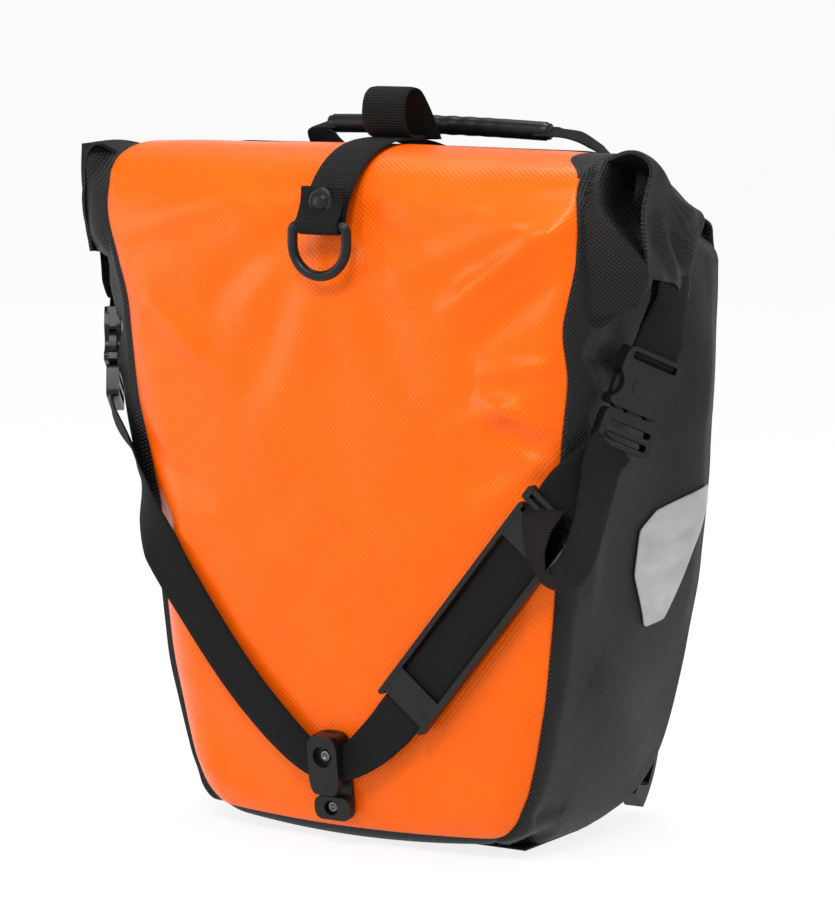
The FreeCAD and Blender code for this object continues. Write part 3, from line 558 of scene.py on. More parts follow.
def build_side(word, side):
    """Black side: starts at the front panel's seam and runs round to the back."""
    rows, columns = 260, 150
    front, inward = profile_frame(FRONT_PROFILE, rows)
    rear = curve_through(REAR_PROFILE, rows)
    level = front[:, 1]
    start_inset = quarter_round(knot_value(SEAM_KNOTS, side, level), knot_value(CORNER_KNOTS, side, level))
    start_inset += edge_bow(level) - 1.0
    first = front + inward * start_inset[:, None]
    share = (np.linspace(0, 1, columns) ** 1.25)[None, :, None]
    flat = first[:, None, :] * (1 - share) + rear[:, None, :] * share
    x = side_shape(side, flat[..., 0].ravel(), flat[..., 1].ravel()).reshape(rows, columns)
    # a strip turned in under the front panel and the collar, rising to the collar's cloth
    steps = np.arange(TUCK_STEPS, 0, -1)
    rise = 0.88 * np.minimum(steps / 3, 1)[None, :] * ease(front[:, 0], -6, 8)[:, None]
    tuck = first[:, None, :] + (front - first)[:, None, :] * rise[..., None]
    x = np.concatenate([x[:, :1] - TUCK_STEP * steps[None, :], x], axis=1)
    y, z = np.moveaxis(np.concatenate([tuck, flat], axis=1), -1, 0)
    z = droop(x, y, z)
    cloth(f"side_skin_{word}", points_of(side * x, y, z), points_of(y + x * 0.5, z), (f"side_panel_{word}",),
          flip=side > 0, thickness=1.2, offset=side)


def rear_edge(side, line):
    """Half width of the back and base: out to where the side's skin ends."""
    y, z = line.T
    least = knot_value(WIDTH_KNOTS, side, z) - REAR_RADIUS - 14 * ease(z, 396, 412)
    proud = np.maximum(side_shape(side, y, z) - least, 0) * ease(z, 14, 40)
    return least + np.convolve(np.pad(proud, 6, "edge"), np.ones(13) / 13, "valid") + 0.9


def build_rear():
    """Black base, back and rear slope of the collar as one strip behind the front panel."""
    rows, columns = 260, 90
    line, outward = profile_frame(REAR_PROFILE[:-1] + COLLAR_PROFILE, rows)
    across = np.linspace(-1, 1, columns)[None, :]
    across = across * by_side(across, *(rear_edge(side, line)[:, None] for side in HANDS))
    uv = points_of(across, run_length(line)[:, None])
    relief = 0.9 * smooth_noise(uv.reshape(-1, 2), 12, 8).reshape(rows, columns)
    relief *= ease(uv[..., 1], 90, 150)
    y, z = stood_off(line, outward, relief)
    cloth("rear_skin", points_of(across, y, droop(across, y, z)), uv,
          ("bottom_panel", "back_panel", "top_collar"), flip=True, thickness=1.2, offset=1)


build_front("front_skin", 9.0, 1000, 0, "orange_fabric", ("front_panel", "rolled_mouth"))
build_front("foot_skin", 0.5, 12.0, 0.5, "black_fabric", ("bottom_panel",))
for word, side in SIDES:
    build_side(word, side)
build_rear()


# ---- roll ends

# half width over the crest, and heights of the front ends of the crest and of the root, on each side
WING_SPREAD = {1: 199, -1: 201}
WING_CREST = {1: 419, -1: 414.5}
WING_ROOT = {1: 417.5, -1: 413.5}


def build_wing(word, side):
    """Folded end of the roll: out of the mouth, over a sloping crest and down to a loose hem."""
    rows, columns = 90, 64
    b = np.linspace(0, 1, columns)
    tuck = 24 * ease(b, 0.86, 1.0)
    crest_x = WING_SPREAD[side] - 3 + 2 * b - tuck
    crest_y = -65 + 73 * b
    crest_z = WING_CREST[side] - 26 * ease(b, 0.02, 0.62) - 9 * ease(b, 0.5, 1.0)
    hem_x = 194 + 2.0 * np.sin(b * 6) - tuck
    hem_y = -63 + 60 * b
    hem_z = 347 - 4 * ease(b, 0, 0.5) - 13 * ease(b, 0.45, 1.0)
    root_y = -58 + 56 * b
    root_z = WING_ROOT[side] - 12 * b
    path = []
    for k in range(columns):
        knots = [
            (146, root_y[k] + 4, root_z[k] - 22),
            (167, root_y[k], root_z[k] - 3.5) if side > 0 else (172, root_y[k] + 5, root_z[k] - 11),
            (crest_x[k] - 9, crest_y[k] - 0.5, crest_z[k] - 0.4),
            (crest_x[k], crest_y[k] + 1, crest_z[k] - 7),
            (crest_x[k] - 2 - 5 * math.sin(b[k] * 3), 0.5 * (crest_y[k] + hem_y[k]) - 5 + 8 * b[k],
             0.5 * (crest_z[k] + hem_z[k])),
            (hem_x[k], hem_y[k], hem_z[k]),
        ]
        path.append(curve_through(knots, rows))
    points = np.stack(path, axis=1)
    flat = points.reshape(-1, 3)
    lumps = smooth_noise(flat, 38, 11 + side) * 1.6 + smooth_noise(flat, 90, 12 + side) * 0.64
    hanging = 1 - ease(flat[:, 2], 366, 404)
    folds = folded(flat[:, 1:], [((-56, 406), (-24, 336), 6, 4.2), ((-46, 404), (-8, 340), 6, -3.6),
                                 ((-24, 396), (-2, 352), 7, 2.6)])
    flat[:, 0] += lumps + (folds + np.sin(flat[:, 1] / 6.5 + flat[:, 2] / 12.0)) * hanging
    flat[:, 0] *= side
    uv = points_of(flat[:, 1], flat[:, 2] - np.abs(flat[:, 0]))
    item = cloth(f"wing_skin_{word}", points, uv, (f"wing_{word}",), flip=side > 0, thickness=2.2, offset=0)
    modify(item, "BEVEL", width=0.9 * MM, segments=3, limit_method="ANGLE")


# lines down the front of a roll end: beside the front panel, along the fold, and inside the hollow
GUSSET_LINES = {
    1: ([(150, -48, 409), (153, -62, 400), (154, -73, 386), (154, -76, 373), (153, -77, 361), (152, -77, 349),
         (151, -77, 337), (149, -76, 324), (140, -66, 310)],
        [(163, -60, 414), (167, -73, 402), (172, -77, 386), (182, -76, 374), (191, -71, 362), (195, -65, 350),
         (188, -60, 336), (172, -62, 323), (146, -60, 309)],
        [(172, -34, 411), (170, -32, 400), (168, -30, 385), (172, -30, 373), (178, -30, 361), (184, -32, 349),
         (176, -34, 335), (160, -40, 321), (140, -52, 307)]),
    -1: ([(150, -36, 408), (156, -58, 402), (160, -72, 388), (160, -79, 371), (157, -80, 353),
          (150, -76, 335)],
         [(182, -47, 415.5), (184, -63, 404), (184, -73, 388), (182, -76, 369), (178, -74, 352),
          (160, -66, 335)],
         [(200, -65, 413.5), (200, -66, 402), (199, -66, 386), (198, -64, 369), (195, -62, 352),
          (166, -58, 334)]),
}


def build_gusset(word, side):
    """Cloth that closes the front of a roll end, from the front panel's edge round into the hollow."""
    rows, columns = 80, 40
    lines = [curve_through(line, rows) for line in GUSSET_LINES[side]]
    points = np.array([curve_through(stations, columns) for stations in zip(*lines)])
    flat = points.reshape(-1, 3)
    flat[:, 1] += smooth_noise(flat, 45, 21 + side) * 1.2
    flat[:, 0] *= side
    uv = points_of(flat[:, 0] * 0.7 + flat[:, 1] * 0.7, flat[:, 2])
    cloth(f"gusset_{word}", points, uv, (f"side_panel_{word}",), flip=side > 0, thickness=1.2, offset=-1)


for word, side in SIDES:
    build_wing(word, side)
    build_gusset(word, side)


# ---- webbing

FLAT = (0, -1, 0)
RIBBON_EDGE = np.linspace(-1, 1, 13)


def ribbon(name, stations, replaces, body="sack", width=30.0, thick=1.7, count=90, ripple=0.0):
    """Strap along smooth stations of (centre, way the face looks, width if not the usual)."""
    places, facings, widths = zip(*[(*station, width)[:3] for station in stations])
    centres = curve_through(places, count)
    keys = run_length(np.array(places, float))
    keys /= keys[-1]
    even = np.linspace(0, 1, count)
    facings = unit(np.array(facings, float))
    facing = points_of(*(np.interp(even, keys, column) for column in facings.T))
    widths = np.interp(even, keys, np.array(widths) / width)
    along = unit(np.gradient(centres, axis=0))
    side = unit(np.cross(along, facing))
    up = np.cross(side, along)
    swell = 1.0 - 0.7 * np.abs(RIBBON_EDGE) ** 8
    edge = np.concatenate([RIBBON_EDGE, RIBBON_EDGE[::-1]])
    rise = np.concatenate([swell, -swell]) * thick / 2
    sway = ripple * np.sin(even * 40)[:, None] * edge[None, :] ** 2
    across = edge[None, :] * width / 2
    verts = (centres[:, None, :] + side[:, None, :] * (across * widths[:, None])[..., None]
             + up[:, None, :] * (rise[None, :] + sway)[..., None])
    uv = points_of(across, run_length(centres)[:, None])
    return piece(name, verts.reshape(-1, 3), capped_faces(count, len(edge)), "webbing", body, replaces,
                 uv=uv.reshape(-1, 2))


PAD_MIDDLE = np.array([100, -97.6, 148.0])
PAD_SLOPE = math.atan2(0.781, 0.625)
PAD_ALONG = np.array([math.cos(PAD_SLOPE), 0, math.sin(PAD_SLOPE)])


def pad_point(along):
    return tuple(PAD_MIDDLE + PAD_ALONG * along)


STRAP = [
    ((-180.8, -62.4, 252), (-0.86, -0.5, 0)), ((-174, -66.5, 244), (-0.88, -0.48, 0)),
    ((-158.5, -71.5, 228), (-0.92, -0.4, 0)), ((-149, -76, 211), (-0.86, -0.5, 0)),
    ((-140, -84, 193), (-0.55, -0.83, 0)), ((-124, -92, 172), FLAT, 28), ((-97, -95, 137), FLAT, 26),
    ((-64, -96, 98), FLAT, 25), ((-36, -96.6, 71), FLAT, 24), ((-15, -96.2, 55), (0.1, -1, -0.05), 21),
    ((0, -95.6, 50), FLAT, 19), ((14, -96.2, 54), (-0.1, -1, -0.05), 21), ((31, -97.0, 66), FLAT, 26),
    (pad_point(-84), FLAT, 29.5), (pad_point(-60), FLAT), (pad_point(0), FLAT), (pad_point(60), FLAT),
    (pad_point(84), FLAT), ((161, -92, 227), (0.3, -0.95, 0)), ((168, -79, 238), (0.7, -0.7, 0)),
    ((171.5, -63.5, 248), (0.86, -0.5, 0)),
]
SLACK = [
    ((150, -98.9, 216), (-0.1, -0.9, 0.45)), ((149.5, -103.5, 213), (-0.2, -0.95, 0.2)),
    ((149, -108.5, 204), (-0.45, -0.85, 0)), ((149.5, -111, 192), (-0.62, -0.78, -0.1)),
    ((153, -110.5, 181), (-0.5, -0.6, -0.6)), ((160, -108, 176.5), (0, -0.5, -0.86)),
    ((168.5, -105, 182), (0.7, -0.4, -0.5)), ((172.8, -100, 193), (0.95, -0.25, -0.15)),
    ((174, -93, 207), (0.98, -0.15, 0)), ((173, -83, 224), (0.97, -0.24, 0)),
    ((171.5, -71, 243), (0.92, -0.4, 0)), ((173.6, -61.8, 252), (0.86, -0.5, 0)),
]
# straps over the middle of the roll: y, z, and the way the face looks in y and z
MIDDLE_X = -2.5
CLOSURE = [
    (78, 394.8, 0.3, 1), (20, 413.5, 0.3, 1), (-8, 419.0, 0.05, 1), (-40, 419.2, -0.1, 1),
    (-62, 413.6, -0.4, 1), (-80, 402.0, -0.8, 0.8), (-92.5, 385.0, -1, 0.3), (-96.8, 370.0, -1, 0),
]
PULL_LOOP = [
    (-6, 420.6, 0.1, -1), (-20, 421.0, -0.2, -1), (-28, 427, -0.9, -0.4), (-30, 437, -1, 0.05),
    (-27, 446, -0.9, 0.45), (-20, 450.0, -0.25, 1), (-12, 448.5, 0.5, 0.85), (-3, 440, 0.76, 0.64),
    (6, 428, 0.82, 0.57), (12.5, 418.5, 0.8, 0.6),
]
ribbon("strap_left_arm", STRAP, ("shoulder_strap",), count=260, ripple=0.25)
ribbon("strap_slack", SLACK, ("strap_loop",), count=170)
for name, line, node, count in (("closure_web", CLOSURE, "closure_strap", 120),
                                ("pull_loop_web", PULL_LOOP, "pull_loop", 110)):
    ribbon(name, [((MIDDLE_X, y, z), (0, back, up)) for y, z, back, up in line], (node,), count=count)


# ---- solid shapes for fittings

def axes_matrix(origin, across, out, up):
    """Local x, y, z axes and an origin, as a matrix."""
    matrix = Matrix((Vector(across), Vector(out), Vector(up))).transposed().to_4x4()
    matrix.translation = Vector(origin)
    return matrix


def placed(points, matrix):
    """Rows of local points, turned and moved by a matrix."""
    return np.asarray(points, float) @ np.array(matrix.to_3x3()).T + np.array(matrix.translation)


def rounded(outline, radius, steps=6):
    """Flat outline with its corners rounded."""
    result = []
    count = len(outline)
    for k in range(count):
        before, here, after = (np.array(outline[(k + step) % count], float) for step in (-1, 0, 1))
        into, away = before - here, after - here
        reach = min(radius, 0.45 * np.linalg.norm(into), 0.45 * np.linalg.norm(away))
        a = here + into / np.linalg.norm(into) * reach
        b = here + away / np.linalg.norm(away) * reach
        for share in np.linspace(0, 1, steps):
            result.append(tuple(a * (1 - share) ** 2 + 2 * here * share * (1 - share) + b * share ** 2))
    return result


def oblong(width, height, centre=(0, 0), radius=0.0, steps=6):
    """Rounded outline of an upright rectangle, counter-clockwise."""
    x, z = centre
    a, b = width / 2, height / 2
    return rounded([(x - a, z - b), (x + a, z - b), (x + a, z + b), (x - a, z + b)], radius, steps)


def arc(centre, radius, turns):
    """Flat points round a centre at turns in degrees."""
    return [(centre[0] + radius * math.cos(turn), centre[1] + radius * math.sin(turn))
            for turn in np.radians(turns)]


def circle(radius, centre, count):
    return arc(centre, radius, np.linspace(0, 360, count, endpoint=False))


def slab(outline, low, high, holes=()):
    """Vertices and faces of an outline in local x and z, from local y low to high, with holes."""
    rings = [outline] + [hole[::-1] for hole in holes]
    flat = [point for ring in rings for point in ring]
    triangles = tessellate_polygon([[Vector((x, z, 0)) for x, z in ring] for ring in rings])
    count = len(flat)
    verts = [(x, low, z) for x, z in flat] + [(x, high, z) for x, z in flat]
    faces = [tuple(t) for t in triangles] + [tuple(v + count for v in reversed(t)) for t in triangles]
    start = 0
    for ring in rings:
        for k in range(len(ring)):
            a, b = start + k, start + (k + 1) % len(ring)
            faces.append((a, b, b + count, a + count))
        start += len(ring)
    return verts, faces


def plate(width, height, centre, radius, low, high):
    """Slab of a rounded rectangle."""
    return slab(oblong(width, height, centre, radius), low, high)


def repair_normals(item):
    """Outward faces on every closed part."""
    work = bmesh.new()
    work.from_mesh(item.data)
    bmesh.ops.remove_doubles(work, verts=work.verts, dist=1e-7)
    bmesh.ops.recalc_face_normals(work, faces=work.faces)
    work.to_mesh(item.data)
    work.free()


def fitting(name, parts, replaces, matrix=Matrix.Identity(4), body="sack", edge=0.0, slot="moulding",
            material=None):
    """A fitting from closed parts, with softened edges."""
    verts, faces = [], []
    for some_verts, some_faces in parts:
        faces += [tuple(int(i) + len(verts) for i in face) for face in some_faces]
        verts += [tuple(v) for v in some_verts]
    item = piece(name, placed(verts, matrix), faces, slot, body, (replaces,), material=material)
    repair_normals(item)
    if edge:
        modify(item, "BEVEL", width=edge * MM, segments=3, limit_method="ANGLE",
               angle_limit=math.radians(38), use_clamp_overlap=True)
        modify(item, "WEIGHTED_NORMAL", keep_sharp=False)


def lathe(profile, count):
    """Vertices and faces of (radius, height) points turned round the local y axis."""
    angles = np.arange(count) * math.tau / count
    verts = [(r * math.cos(a), h, r * math.sin(a)) for r, h in profile for a in angles]
    return verts, capped_faces(len(profile), count)


def tube(path, radius, count=20, looped=False):
    """Vertices and faces of a round bar along a path of points."""
    line = np.array(path, float)
    along = np.roll(line, -1, axis=0) - np.roll(line, 1, axis=0) if looped else np.gradient(line, axis=0)
    along = unit(along)
    side = unit(np.cross(along, np.array([0.03, 1.0, 0.05])))
    up = np.cross(side, along)
    radii = np.broadcast_to(np.asarray(radius, float), (len(line),))
    angles = np.arange(count) * math.tau / count
    ring = side[:, None, :] * np.cos(angles)[None, :, None] + up[:, None, :] * np.sin(angles)[None, :, None]
    verts = (line[:, None, :] + ring * radii[:, None, None]).reshape(-1, 3)
    if looped:
        return verts, grid_faces(len(line), count, closed=True, looped=True)
    return verts, capped_faces(len(line), count)


def shifted(part, offset):
    verts, faces = part
    return np.asarray(verts, float) + offset, faces


def screw_head(radius, height):
    """Round pan head with a hexagonal socket, standing along local -y from 0."""
    dome = [(0.55, 0), (1, 0), (1, -0.45), (0.86, -0.86), (0.62, -1), (0.42, -1), (0.40, -0.35), (0.02, -0.3)]
    return lathe([(radius * out, height * up) for out, up in dome], 36)


# ---- side-release buckles

BUCKLE_TOP = Vector((187, -37, 306))
BUCKLE_FOOT = Vector((173.5, -57.5, 248))
LEFT_SHIFT = Vector((-7, -2, 5))
SHOULDER_LINE = [(17.6, 22.3), (19.6, 24.0), (19.6, 26.5), (17.4, 28.6), (15.4, 31.6), (14.9, 34.6),
                 (15.6, 37.8), (17.8, 40.6), (19.7, 43.6), (19.9, 48.0), (19.4, 53.5), (17.6, 57.2),
                 (15.6, 57.9)]
PRONG_LINE = [(8.8, 21.2), (13.6, 21.2), (16.2, 23.6), (17.4, 27.5), (19.2, 30.2), (19.4, 35.0), (19.2, 38.6),
              (17.2, 41.2), (15.0, 42.0), (13.4, 40.6), (14.9, 36.0), (13.2, 28.2), (11.4, 25.4), (8.8, 24.8)]


def buckle_axes(side):
    up = (BUCKLE_TOP - BUCKLE_FOOT).normalized()
    up.x *= side
    face = Vector((side * 0.86, -0.5, 0))
    face = (face - up * face.dot(up)).normalized()
    origin = Vector((side * BUCKLE_FOOT.x, BUCKLE_FOOT.y, BUCKLE_FOOT.z))
    if side < 0:
        origin += LEFT_SHIFT
    return axes_matrix(origin, face.cross(up), face, up)


def socket_outline():
    """Half-round shoulders and concave thumb windows, in local x and z."""
    right = curve_through(SHOULDER_LINE, 60)
    return [tuple(p) for p in right] + [tuple(p) for p in right[::-1] * np.array([-1, 1])]


def build_buckle(word, side):
    place = buckle_axes(side)
    bar_hole = oblong(31, 4.6, (0, 53.2), 1.6)
    shell = [slab(socket_outline(), low, low + 3.1, [bar_hole]) for low in (2.3, -5.4)]
    shell.append(plate(37.6, 8.4, (0, 46.4), 1.5, -3.4, 3.4))
    shell += [plate(2.2, height, (hand * 18.4, level), 0.8, -3.4, 3.4)
              for height, level in ((5.0, 25.0), (14, 50.2)) for hand in HANDS]
    shell.append(slab(oblong(17, 9, (0, 36), 4.4, 10), 5.0, 5.75))
    fitting(f"buckle_socket_{word}_shell", shell, f"buckle_socket_{word}", place, edge=0.75)
    ladder = [oblong(30.5, 4.6, (0, 5), 1.6), oblong(30.5, 3.8, (0, 12.6), 1.6)]
    plug = [slab(oblong(38, 20.6, (0, 10.1), 4.0), -3.9, 3.9, ladder)]
    plug += [tube([(-16, 2.5, level), (16, 2.5, level)], 1.7) for level in (1.9, 8.8)]
    plug.append(plate(9, 20, (0, 29.6), 1.5, -2.3, 2.3))
    fitting(f"buckle_plug_{word}_frame", plug, f"buckle_plug_{word}", place, edge=0.8)
    for name, hand in (("front", -1), ("rear", 1)):
        outline = [(hand * x, z) for x, z in PRONG_LINE[::hand]]
        prong = f"prong_{word}_{name}"
        arm = slab(rounded(outline, 1.2, 4), -2.3, 2.3)
        fitting(f"{prong}_arm", [arm], prong, place, body=prong, edge=0.6)


def build_tab(word, side):
    """Doubled webbing from under the roll end to the socket's bar."""
    place = buckle_axes(side)
    face = place.to_3x3() @ Vector((0, 1, 0))
    hang, front = (192.0, -27) if side > 0 else (196.5, -40)
    hanging = ((side * 0.985, -0.17, 0), (side * 0.99, -0.12, 0))
    layers = (("outer", 30, ((50.6, 0.3), (53.4, 3.2), (58, 2.2), (70, 1.8)),
               ((-1, 0, 330), (0.5, 1, 346))),
              ("inner", 29, ((50.6, -0.4), (54, -2.6), (59, -1.4), (70, -1.6)),
               ((-5.5, 1, 329), (-5, 2, 345))))
    for name, width, near, high in layers:
        stations = [(tuple(place @ Vector((0, out, along))), face) for along, out in near]
        stations += [((side * (hang + out), front + back, level), facing)
                     for (out, back, level), facing in zip(high, hanging)]
        ribbon(f"tab_{word}_{name}", stations, (f"buckle_tab_{word}",), count=60, width=width)


for word, side in SIDES:
    build_buckle(word, side)
    build_tab(word, side)


# ---- D-ring, its fold, the stud

RING_LOW, RING_HIGH = box_mm("d_ring")
RING_X = (RING_LOW.x + RING_HIGH.x) / 2
RING_Y = (RING_LOW.y + RING_HIGH.y) / 2
RING_STOCK = (RING_HIGH.y - RING_LOW.y) / 2
BAR_Z = RING_HIGH.z - RING_STOCK
RING_CORNER = 3.4
RING_DROP = 4.5
# place behind and above the ring's bar, and the way the web faces there
FOLD_LINE = [
    (3.6, 23, (0, -1, 0.1)), (2.6, 14, FLAT), (-1.2, 5.6, (0, -0.9, 0.4)), (-4.0, 1.5, (0, -1, 0.1)),
    (-2.9, -3.2, (0, -0.6, -0.8)), (0.6, -4.2, (0, 0.3, -1)), (3.9, -1.0, (0, 1, -0.2)), (4.0, 6, (0, 1, 0)),
    (4.6, 16, (0, 1, 0)), (5.6, 23, (0, 1, 0)),
]
# (share of the stud's radius, height) of its cap, from the rim over a groove to the middle
STUD_CAP = [(0.3, 0.4), (0.9, 0.4), (1, -0.4), (0.98, -1.4), (0.86, -2.3), (0.68, -2.6), (0.62, -2.0),
            (0.55, -2.1), (0.50, -3.2), (0.36, -3.7), (0.02, -3.8)]


def build_ring():
    half = (RING_HIGH.x - RING_LOW.x) / 2 - RING_STOCK
    shoulder = half - RING_CORNER
    flat = [(share * shoulder, BAR_Z) for share in np.linspace(-1, 1, 20)]
    flat += arc((shoulder, BAR_Z - RING_CORNER), RING_CORNER, np.linspace(80, 10, 5))
    flat += arc((0, RING_LOW.z + RING_STOCK + half + RING_DROP), half, np.linspace(0, -180, 36))
    flat += arc((-shoulder, BAR_Z - RING_CORNER), RING_CORNER, np.linspace(170, 100, 5))
    path = [(RING_X + x, RING_Y, z) for x, z in flat]
    fitting("ring_bow", [tube(path, RING_STOCK + 0.25, 24, looped=True)], "d_ring", body="d_ring")


def build_stud():
    low, high = box_mm("stud")
    radius = 1.1 * (high.x - low.x) / 2
    centre = ((low.x + high.x) / 2, high.y, (low.z + high.z) / 2)
    cap = lathe([(radius * share, height) for share, height in STUD_CAP], 48)
    fitting("stud_cap", [shifted(cap, centre)], "stud")


build_ring()
ribbon("ring_fold_web", [((RING_X, RING_Y + back, BAR_Z + up), facing) for back, up, facing in FOLD_LINE],
       ("ring_fold",), width=29.5, thick=1.6, count=110)
build_stud()


# ---- shoulder pad, slider, strap hook

HOOK_LEAN = math.radians(7)
HOOK_TOP = Vector((0, -91.2, 71))


def strap_axes(spot):
    """Axes along the strap, out of it and across it."""
    return axes_matrix(spot, tuple(PAD_ALONG), (0, 1, 0), (-PAD_ALONG[2], 0, PAD_ALONG[0]))


def build_pad():
    """Open frame that the strap runs through, with a flat bar over each end."""
    parts = [plate(154, 3.3, (0, hand * 17.35), 1.5, -3.5, 3.4) for hand in HANDS]
    parts += [plate(19, 34, (hand * 63.5, 0), 1.0, low, low + 1.6) for low in (-3.3, 1.7) for hand in HANDS]
    fitting("pad_frame", parts, "shoulder_pad", strap_axes(PAD_MIDDLE), body="shoulder_pad", edge=0.8)


def build_slider():
    """Two-bar slider; the slack of the strap folds over its front bar."""
    parts = [plate(9, 4.2, (0, hand * 18.2), 1.9, -3.0, 2.6) for hand in HANDS]
    parts += [plate(3.2, 36, (hand * 3.0, 0), 1.2, -2.6, -1.1) for hand in HANDS]
    parts.append(plate(8, 36, (0, 0), 1.4, 1.1, 2.2))
    fitting("slider_body", parts, "strap_slider", strap_axes(pad_point(84)), edge=0.6)


def build_strap_hook():
    """Hook at the foot of the front: base, domed tongue with a deep screw well, and a lower lug."""
    up = Vector((0, -math.sin(HOOK_LEAN), math.cos(HOOK_LEAN)))
    out = Vector((0, math.cos(HOOK_LEAN), math.sin(HOOK_LEAN)))
    place = axes_matrix(HOOK_TOP - up * HOOK_TOP.z, (1, 0, 0), out, up)
    tongue_line = [(-8, 34.5), (8, 34.5), (10.4, 42), (10.2, 71), (-10.2, 71), (-10.4, 42)]
    parts = [
        slab(oblong(23, 54, (0, 44), 9, 10), -2.8, 0.4),
        slab(rounded(tongue_line, 9.6, 12), -14.2, -9.4, [circle(6.6, (0, 58.3), 40)]),
        slab(circle(8.4, (0, 57.5), 32), -10.2, -8.6),
        slab(rounded([(-10, 62.5), (10, 62.5), (10, 70.6), (-10, 70.6)], 8, 8), -11, -1),
        plate(8, 18, (0, 60), 2, -9.6, -1),
        slab(oblong(25, 14.5, (0, 24), 6.2, 10), -7.2, -1.5, [circle(4.6, (-1, 24.2), 32)]),
        slab(circle(5.4, (-1, 24.2), 28), -3.8, -2.0),
    ]
    fitting("strap_hook_body", parts, "strap_hook", place, edge=1.3)
    heads = [shifted(screw_head(3.7, 2.0), centre) for centre in ((0.8, -10.4, 58.4), (-0.6, -3.9, 24.4))]
    fitting("strap_hook_heads", heads, "strap_hook_screws", place, slot="steel",
            material=screw_steel("blackened_screws", 0.10, 0.2))


build_pad()
build_slider()
build_strap_hook()


# ---- reflector patches, edge guards

REFLECTOR_CENTRE = np.array([20.0, 168.0])
REFLECTOR_LINE = [(-22, 24), (-4, 34), (53, 44), (56, 32), (15, -34), (-8, -36), (-25, -2)]
# the rounded heel at the rear of the base, and the turns round it that a guard spans
HEEL = 60
HEEL_Y = 25
GUARD_TURNS = (-46, 4)


def build_reflector(word, side):
    """Patch that follows the side of the sack, a little proud of it and rounded off at its rim."""
    outline = np.array(rounded(REFLECTOR_LINE, 3, 6)) + REFLECTOR_CENTRE
    rim = curve_through(np.concatenate([outline, outline[:1]]), 161)[:-1]
    shares = np.linspace(0.02, 1, 26)
    flat = REFLECTOR_CENTRE + (rim - REFLECTOR_CENTRE)[None, :, :] * shares[:, None, None]
    y, z = flat.reshape(-1, 2).T
    lift = 0.5 + 0.9 * (1 - np.repeat(shares, len(rim)) ** 6)
    verts = points_of(side * (side_shape(side, y, z) + lift), y, z)
    faces = [*grid_faces(len(shares), len(rim), closed=True), range(len(rim))]
    item = piece(f"reflector_{word}_patch", verts, faces, "reflector", replaces=(f"reflector_{word}",))
    repair_normals(item)
    modify(item, "SOLIDIFY", thickness=0.9 * MM, offset=1)


def build_guard(word):
    """Bent bow that stands off the rear bottom corner, on a foot at each end."""
    guard = f"edge_guard_{word}"
    low, high = box_mm(guard)
    half = (high.x - low.x) / 2
    outer = arc((HEEL_Y, HEEL), HEEL + 14.9, np.linspace(*GUARD_TURNS, 48))
    inner = []
    for turn in np.linspace(*GUARD_TURNS[::-1], 60):
        raised = 11.1 * float(ease(min(turn - GUARD_TURNS[0], GUARD_TURNS[1] - turn), 5, 12))
        inner += arc((HEEL_Y, HEEL), HEEL + 0.3 + raised, [turn])
    place = axes_matrix(((low.x + high.x) / 2, 0, 0), (0, 1, 0), (1, 0, 0), (0, 0, 1))
    fitting(f"{guard}_bow", [slab(outer + inner, -half, half)], guard, place, edge=0.9)


for word, side in SIDES:
    build_reflector(word, side)
    build_guard(word)


# ---- carry handle

def build_handle():
    """Ribbed grip sleeve on a flat web that runs back and down to the rack hooks."""
    low, high = box_mm("handle_grip")
    half = (high.x - low.x) / 2
    y = (low.y + high.y) / 2
    radius = (high.z - low.z) / 2 - 0.2
    levels = {-1: high.z - radius - 2.0, 1: low.z + radius - 3.0}
    share = np.linspace(0, 1, 120)
    path = points_of(half * (2 * share - 1), y,
                     levels[-1] + (levels[1] - levels[-1]) * share + 1.5 * np.sin(share * math.pi))
    ribs = 0.22 * np.cos(share * half) * bump(share - 0.5, 0.44)
    rim = np.where(np.minimum(share, 1 - share) < 0.012, 0.86, 1.0)
    fitting("grip_sleeve", [tube(path, (radius + ribs) * rim, 28)], "handle_grip", body="handle")
    for word, side in SIDES:
        level = levels[side]
        web = ribbon(f"handle_web_{word}_run", [
            ((side * (half - 8), y, level), (0, -0.3, 1)),
            ((side * (half + 6), y + 1, level - 0.5), (0, -0.3, 1)),
            ((side * (half + 17), y + 13, level - 5), (side * 0.5, -0.2, 0.8)),
            ((side * (half + 22), 62, 409), (side * 0.7, 0, 0.7)),
            ((side * (half + 22), 84, 399), (side * 0.4, 0.6, 0.7)),
            ((side * 98, 97, 387), (0, 0.9, 0.4)), ((side * 95, 103.4, 374), (0, 1, 0.2))],
            ("handle_web",), body=None, width=17, thick=1.6, count=80)
        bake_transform(web)


build_handle()


# ---- finish of the frame's own nodes

for node in frame["record"]["subparts"]:
    slots = frame["nodes"][node["node"]].data.materials
    slots.clear()
    slots.append(SLOT_MATERIALS[node["material_slot"]])


# ---- stage, light and camera, in metres

BOWL_RADIUS = 3.4
BOWL_BEND = 0.9
FLOOR_LEVEL = -0.0004


def pale_paper():
    paper = Finish("pale_paper")
    paper.tones(paper.cloud(paper.mapped("Object"), 3.0, 2.0), 0.2, grey(0.155), 0.8, grey(0.165))
    paper.constant("Roughness", 0.9)
    paper.constant("Emission Color", (1, 1, 1, 1))
    paper.constant("Emission Strength", 0.83)
    return paper.material


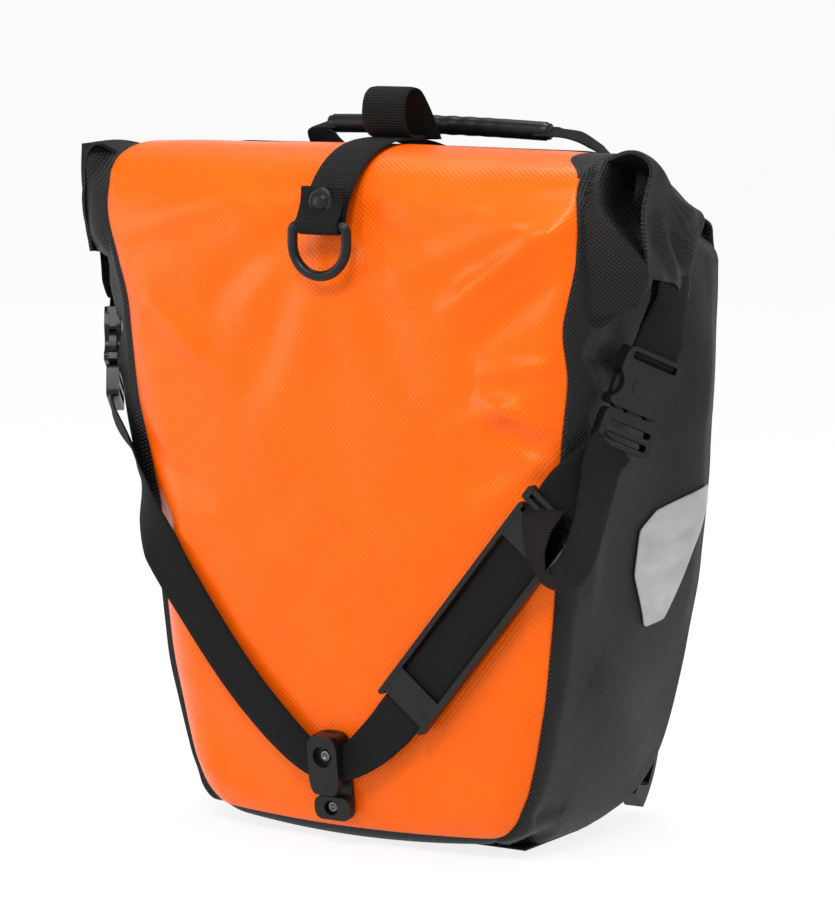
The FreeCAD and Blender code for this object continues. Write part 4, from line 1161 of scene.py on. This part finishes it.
def build_stage():
    """Wide round sweep of pale paper: flat under the bag, curving up far away all round."""
    line = [(reach, 0.0) for reach in (0.002, 0.4, 0.8, 1.6, 2.4, 3.0)]
    line += arc((BOWL_RADIUS, BOWL_BEND), BOWL_BEND, np.linspace(-90, 0, 14))
    line.append((BOWL_RADIUS + BOWL_BEND, 1.7))
    around = np.linspace(0, math.tau, 96, endpoint=False)
    grid = [(reach * math.cos(a), reach * math.sin(a), height + FLOOR_LEVEL)
            for reach, height in line for a in around]
    mesh = bpy.data.meshes.new("backdrop")
    mesh.from_pydata(grid, [], grid_faces(len(line), len(around), closed=True).tolist())
    mesh.shade_smooth()
    mesh.materials.append(pale_paper())
    floor = add_object("backdrop", mesh)


def add_aimed(name, data, place, target):
    """A light or a camera that looks from a place at a target."""
    item = add_object(name, data)
    item.location = place
    item.rotation_euler = (Vector(target) - Vector(place)).to_track_quat("-Z", "Y").to_euler()
    return item


def area_light(name, place, size, power, colour=(1, 1, 1)):
    data = bpy.data.lights.new(name, "AREA")
    data.shape = "RECTANGLE"
    data.size, data.size_y = size
    data.energy = power
    data.color = colour
    add_aimed(name, data, place, (0, 0, 0.22))


def build_light():
    world = bpy.data.worlds.new("studio")
    world.use_nodes = True
    background = world.node_tree.nodes["Background"].inputs
    background["Color"].default_value = (1, 1, 1, 1)
    background["Strength"].default_value = 0.32
    scene.world = world
    area_light("key", (0.5, -1.8, 2.1), (0.6, 0.6), 31)
    area_light("fill", (-1.9, -1.4, 0.8), (0.9, 1.4), 12)
    area_light("top", (0.1, 0.3, 1.9), (1.6, 0.8), 24)
    area_light("side", (2.2, 0.3, 1.0), (0.5, 1.2), 6)
    area_light("glint", (-0.5, -1.5, 1.7), (0.25, 0.9), 10, (1, 0.93, 0.85))


def build_camera():
    data = bpy.data.cameras.new("view")
    data.lens = 157.4
    data.sensor_width = 36
    scene.camera = add_aimed("view", data, (1.2466, -2.0293, 0.5385), (0.003, 0, 0.2294))


build_stage()
build_light()
build_camera()
scene.view_settings.view_transform = "Standard"
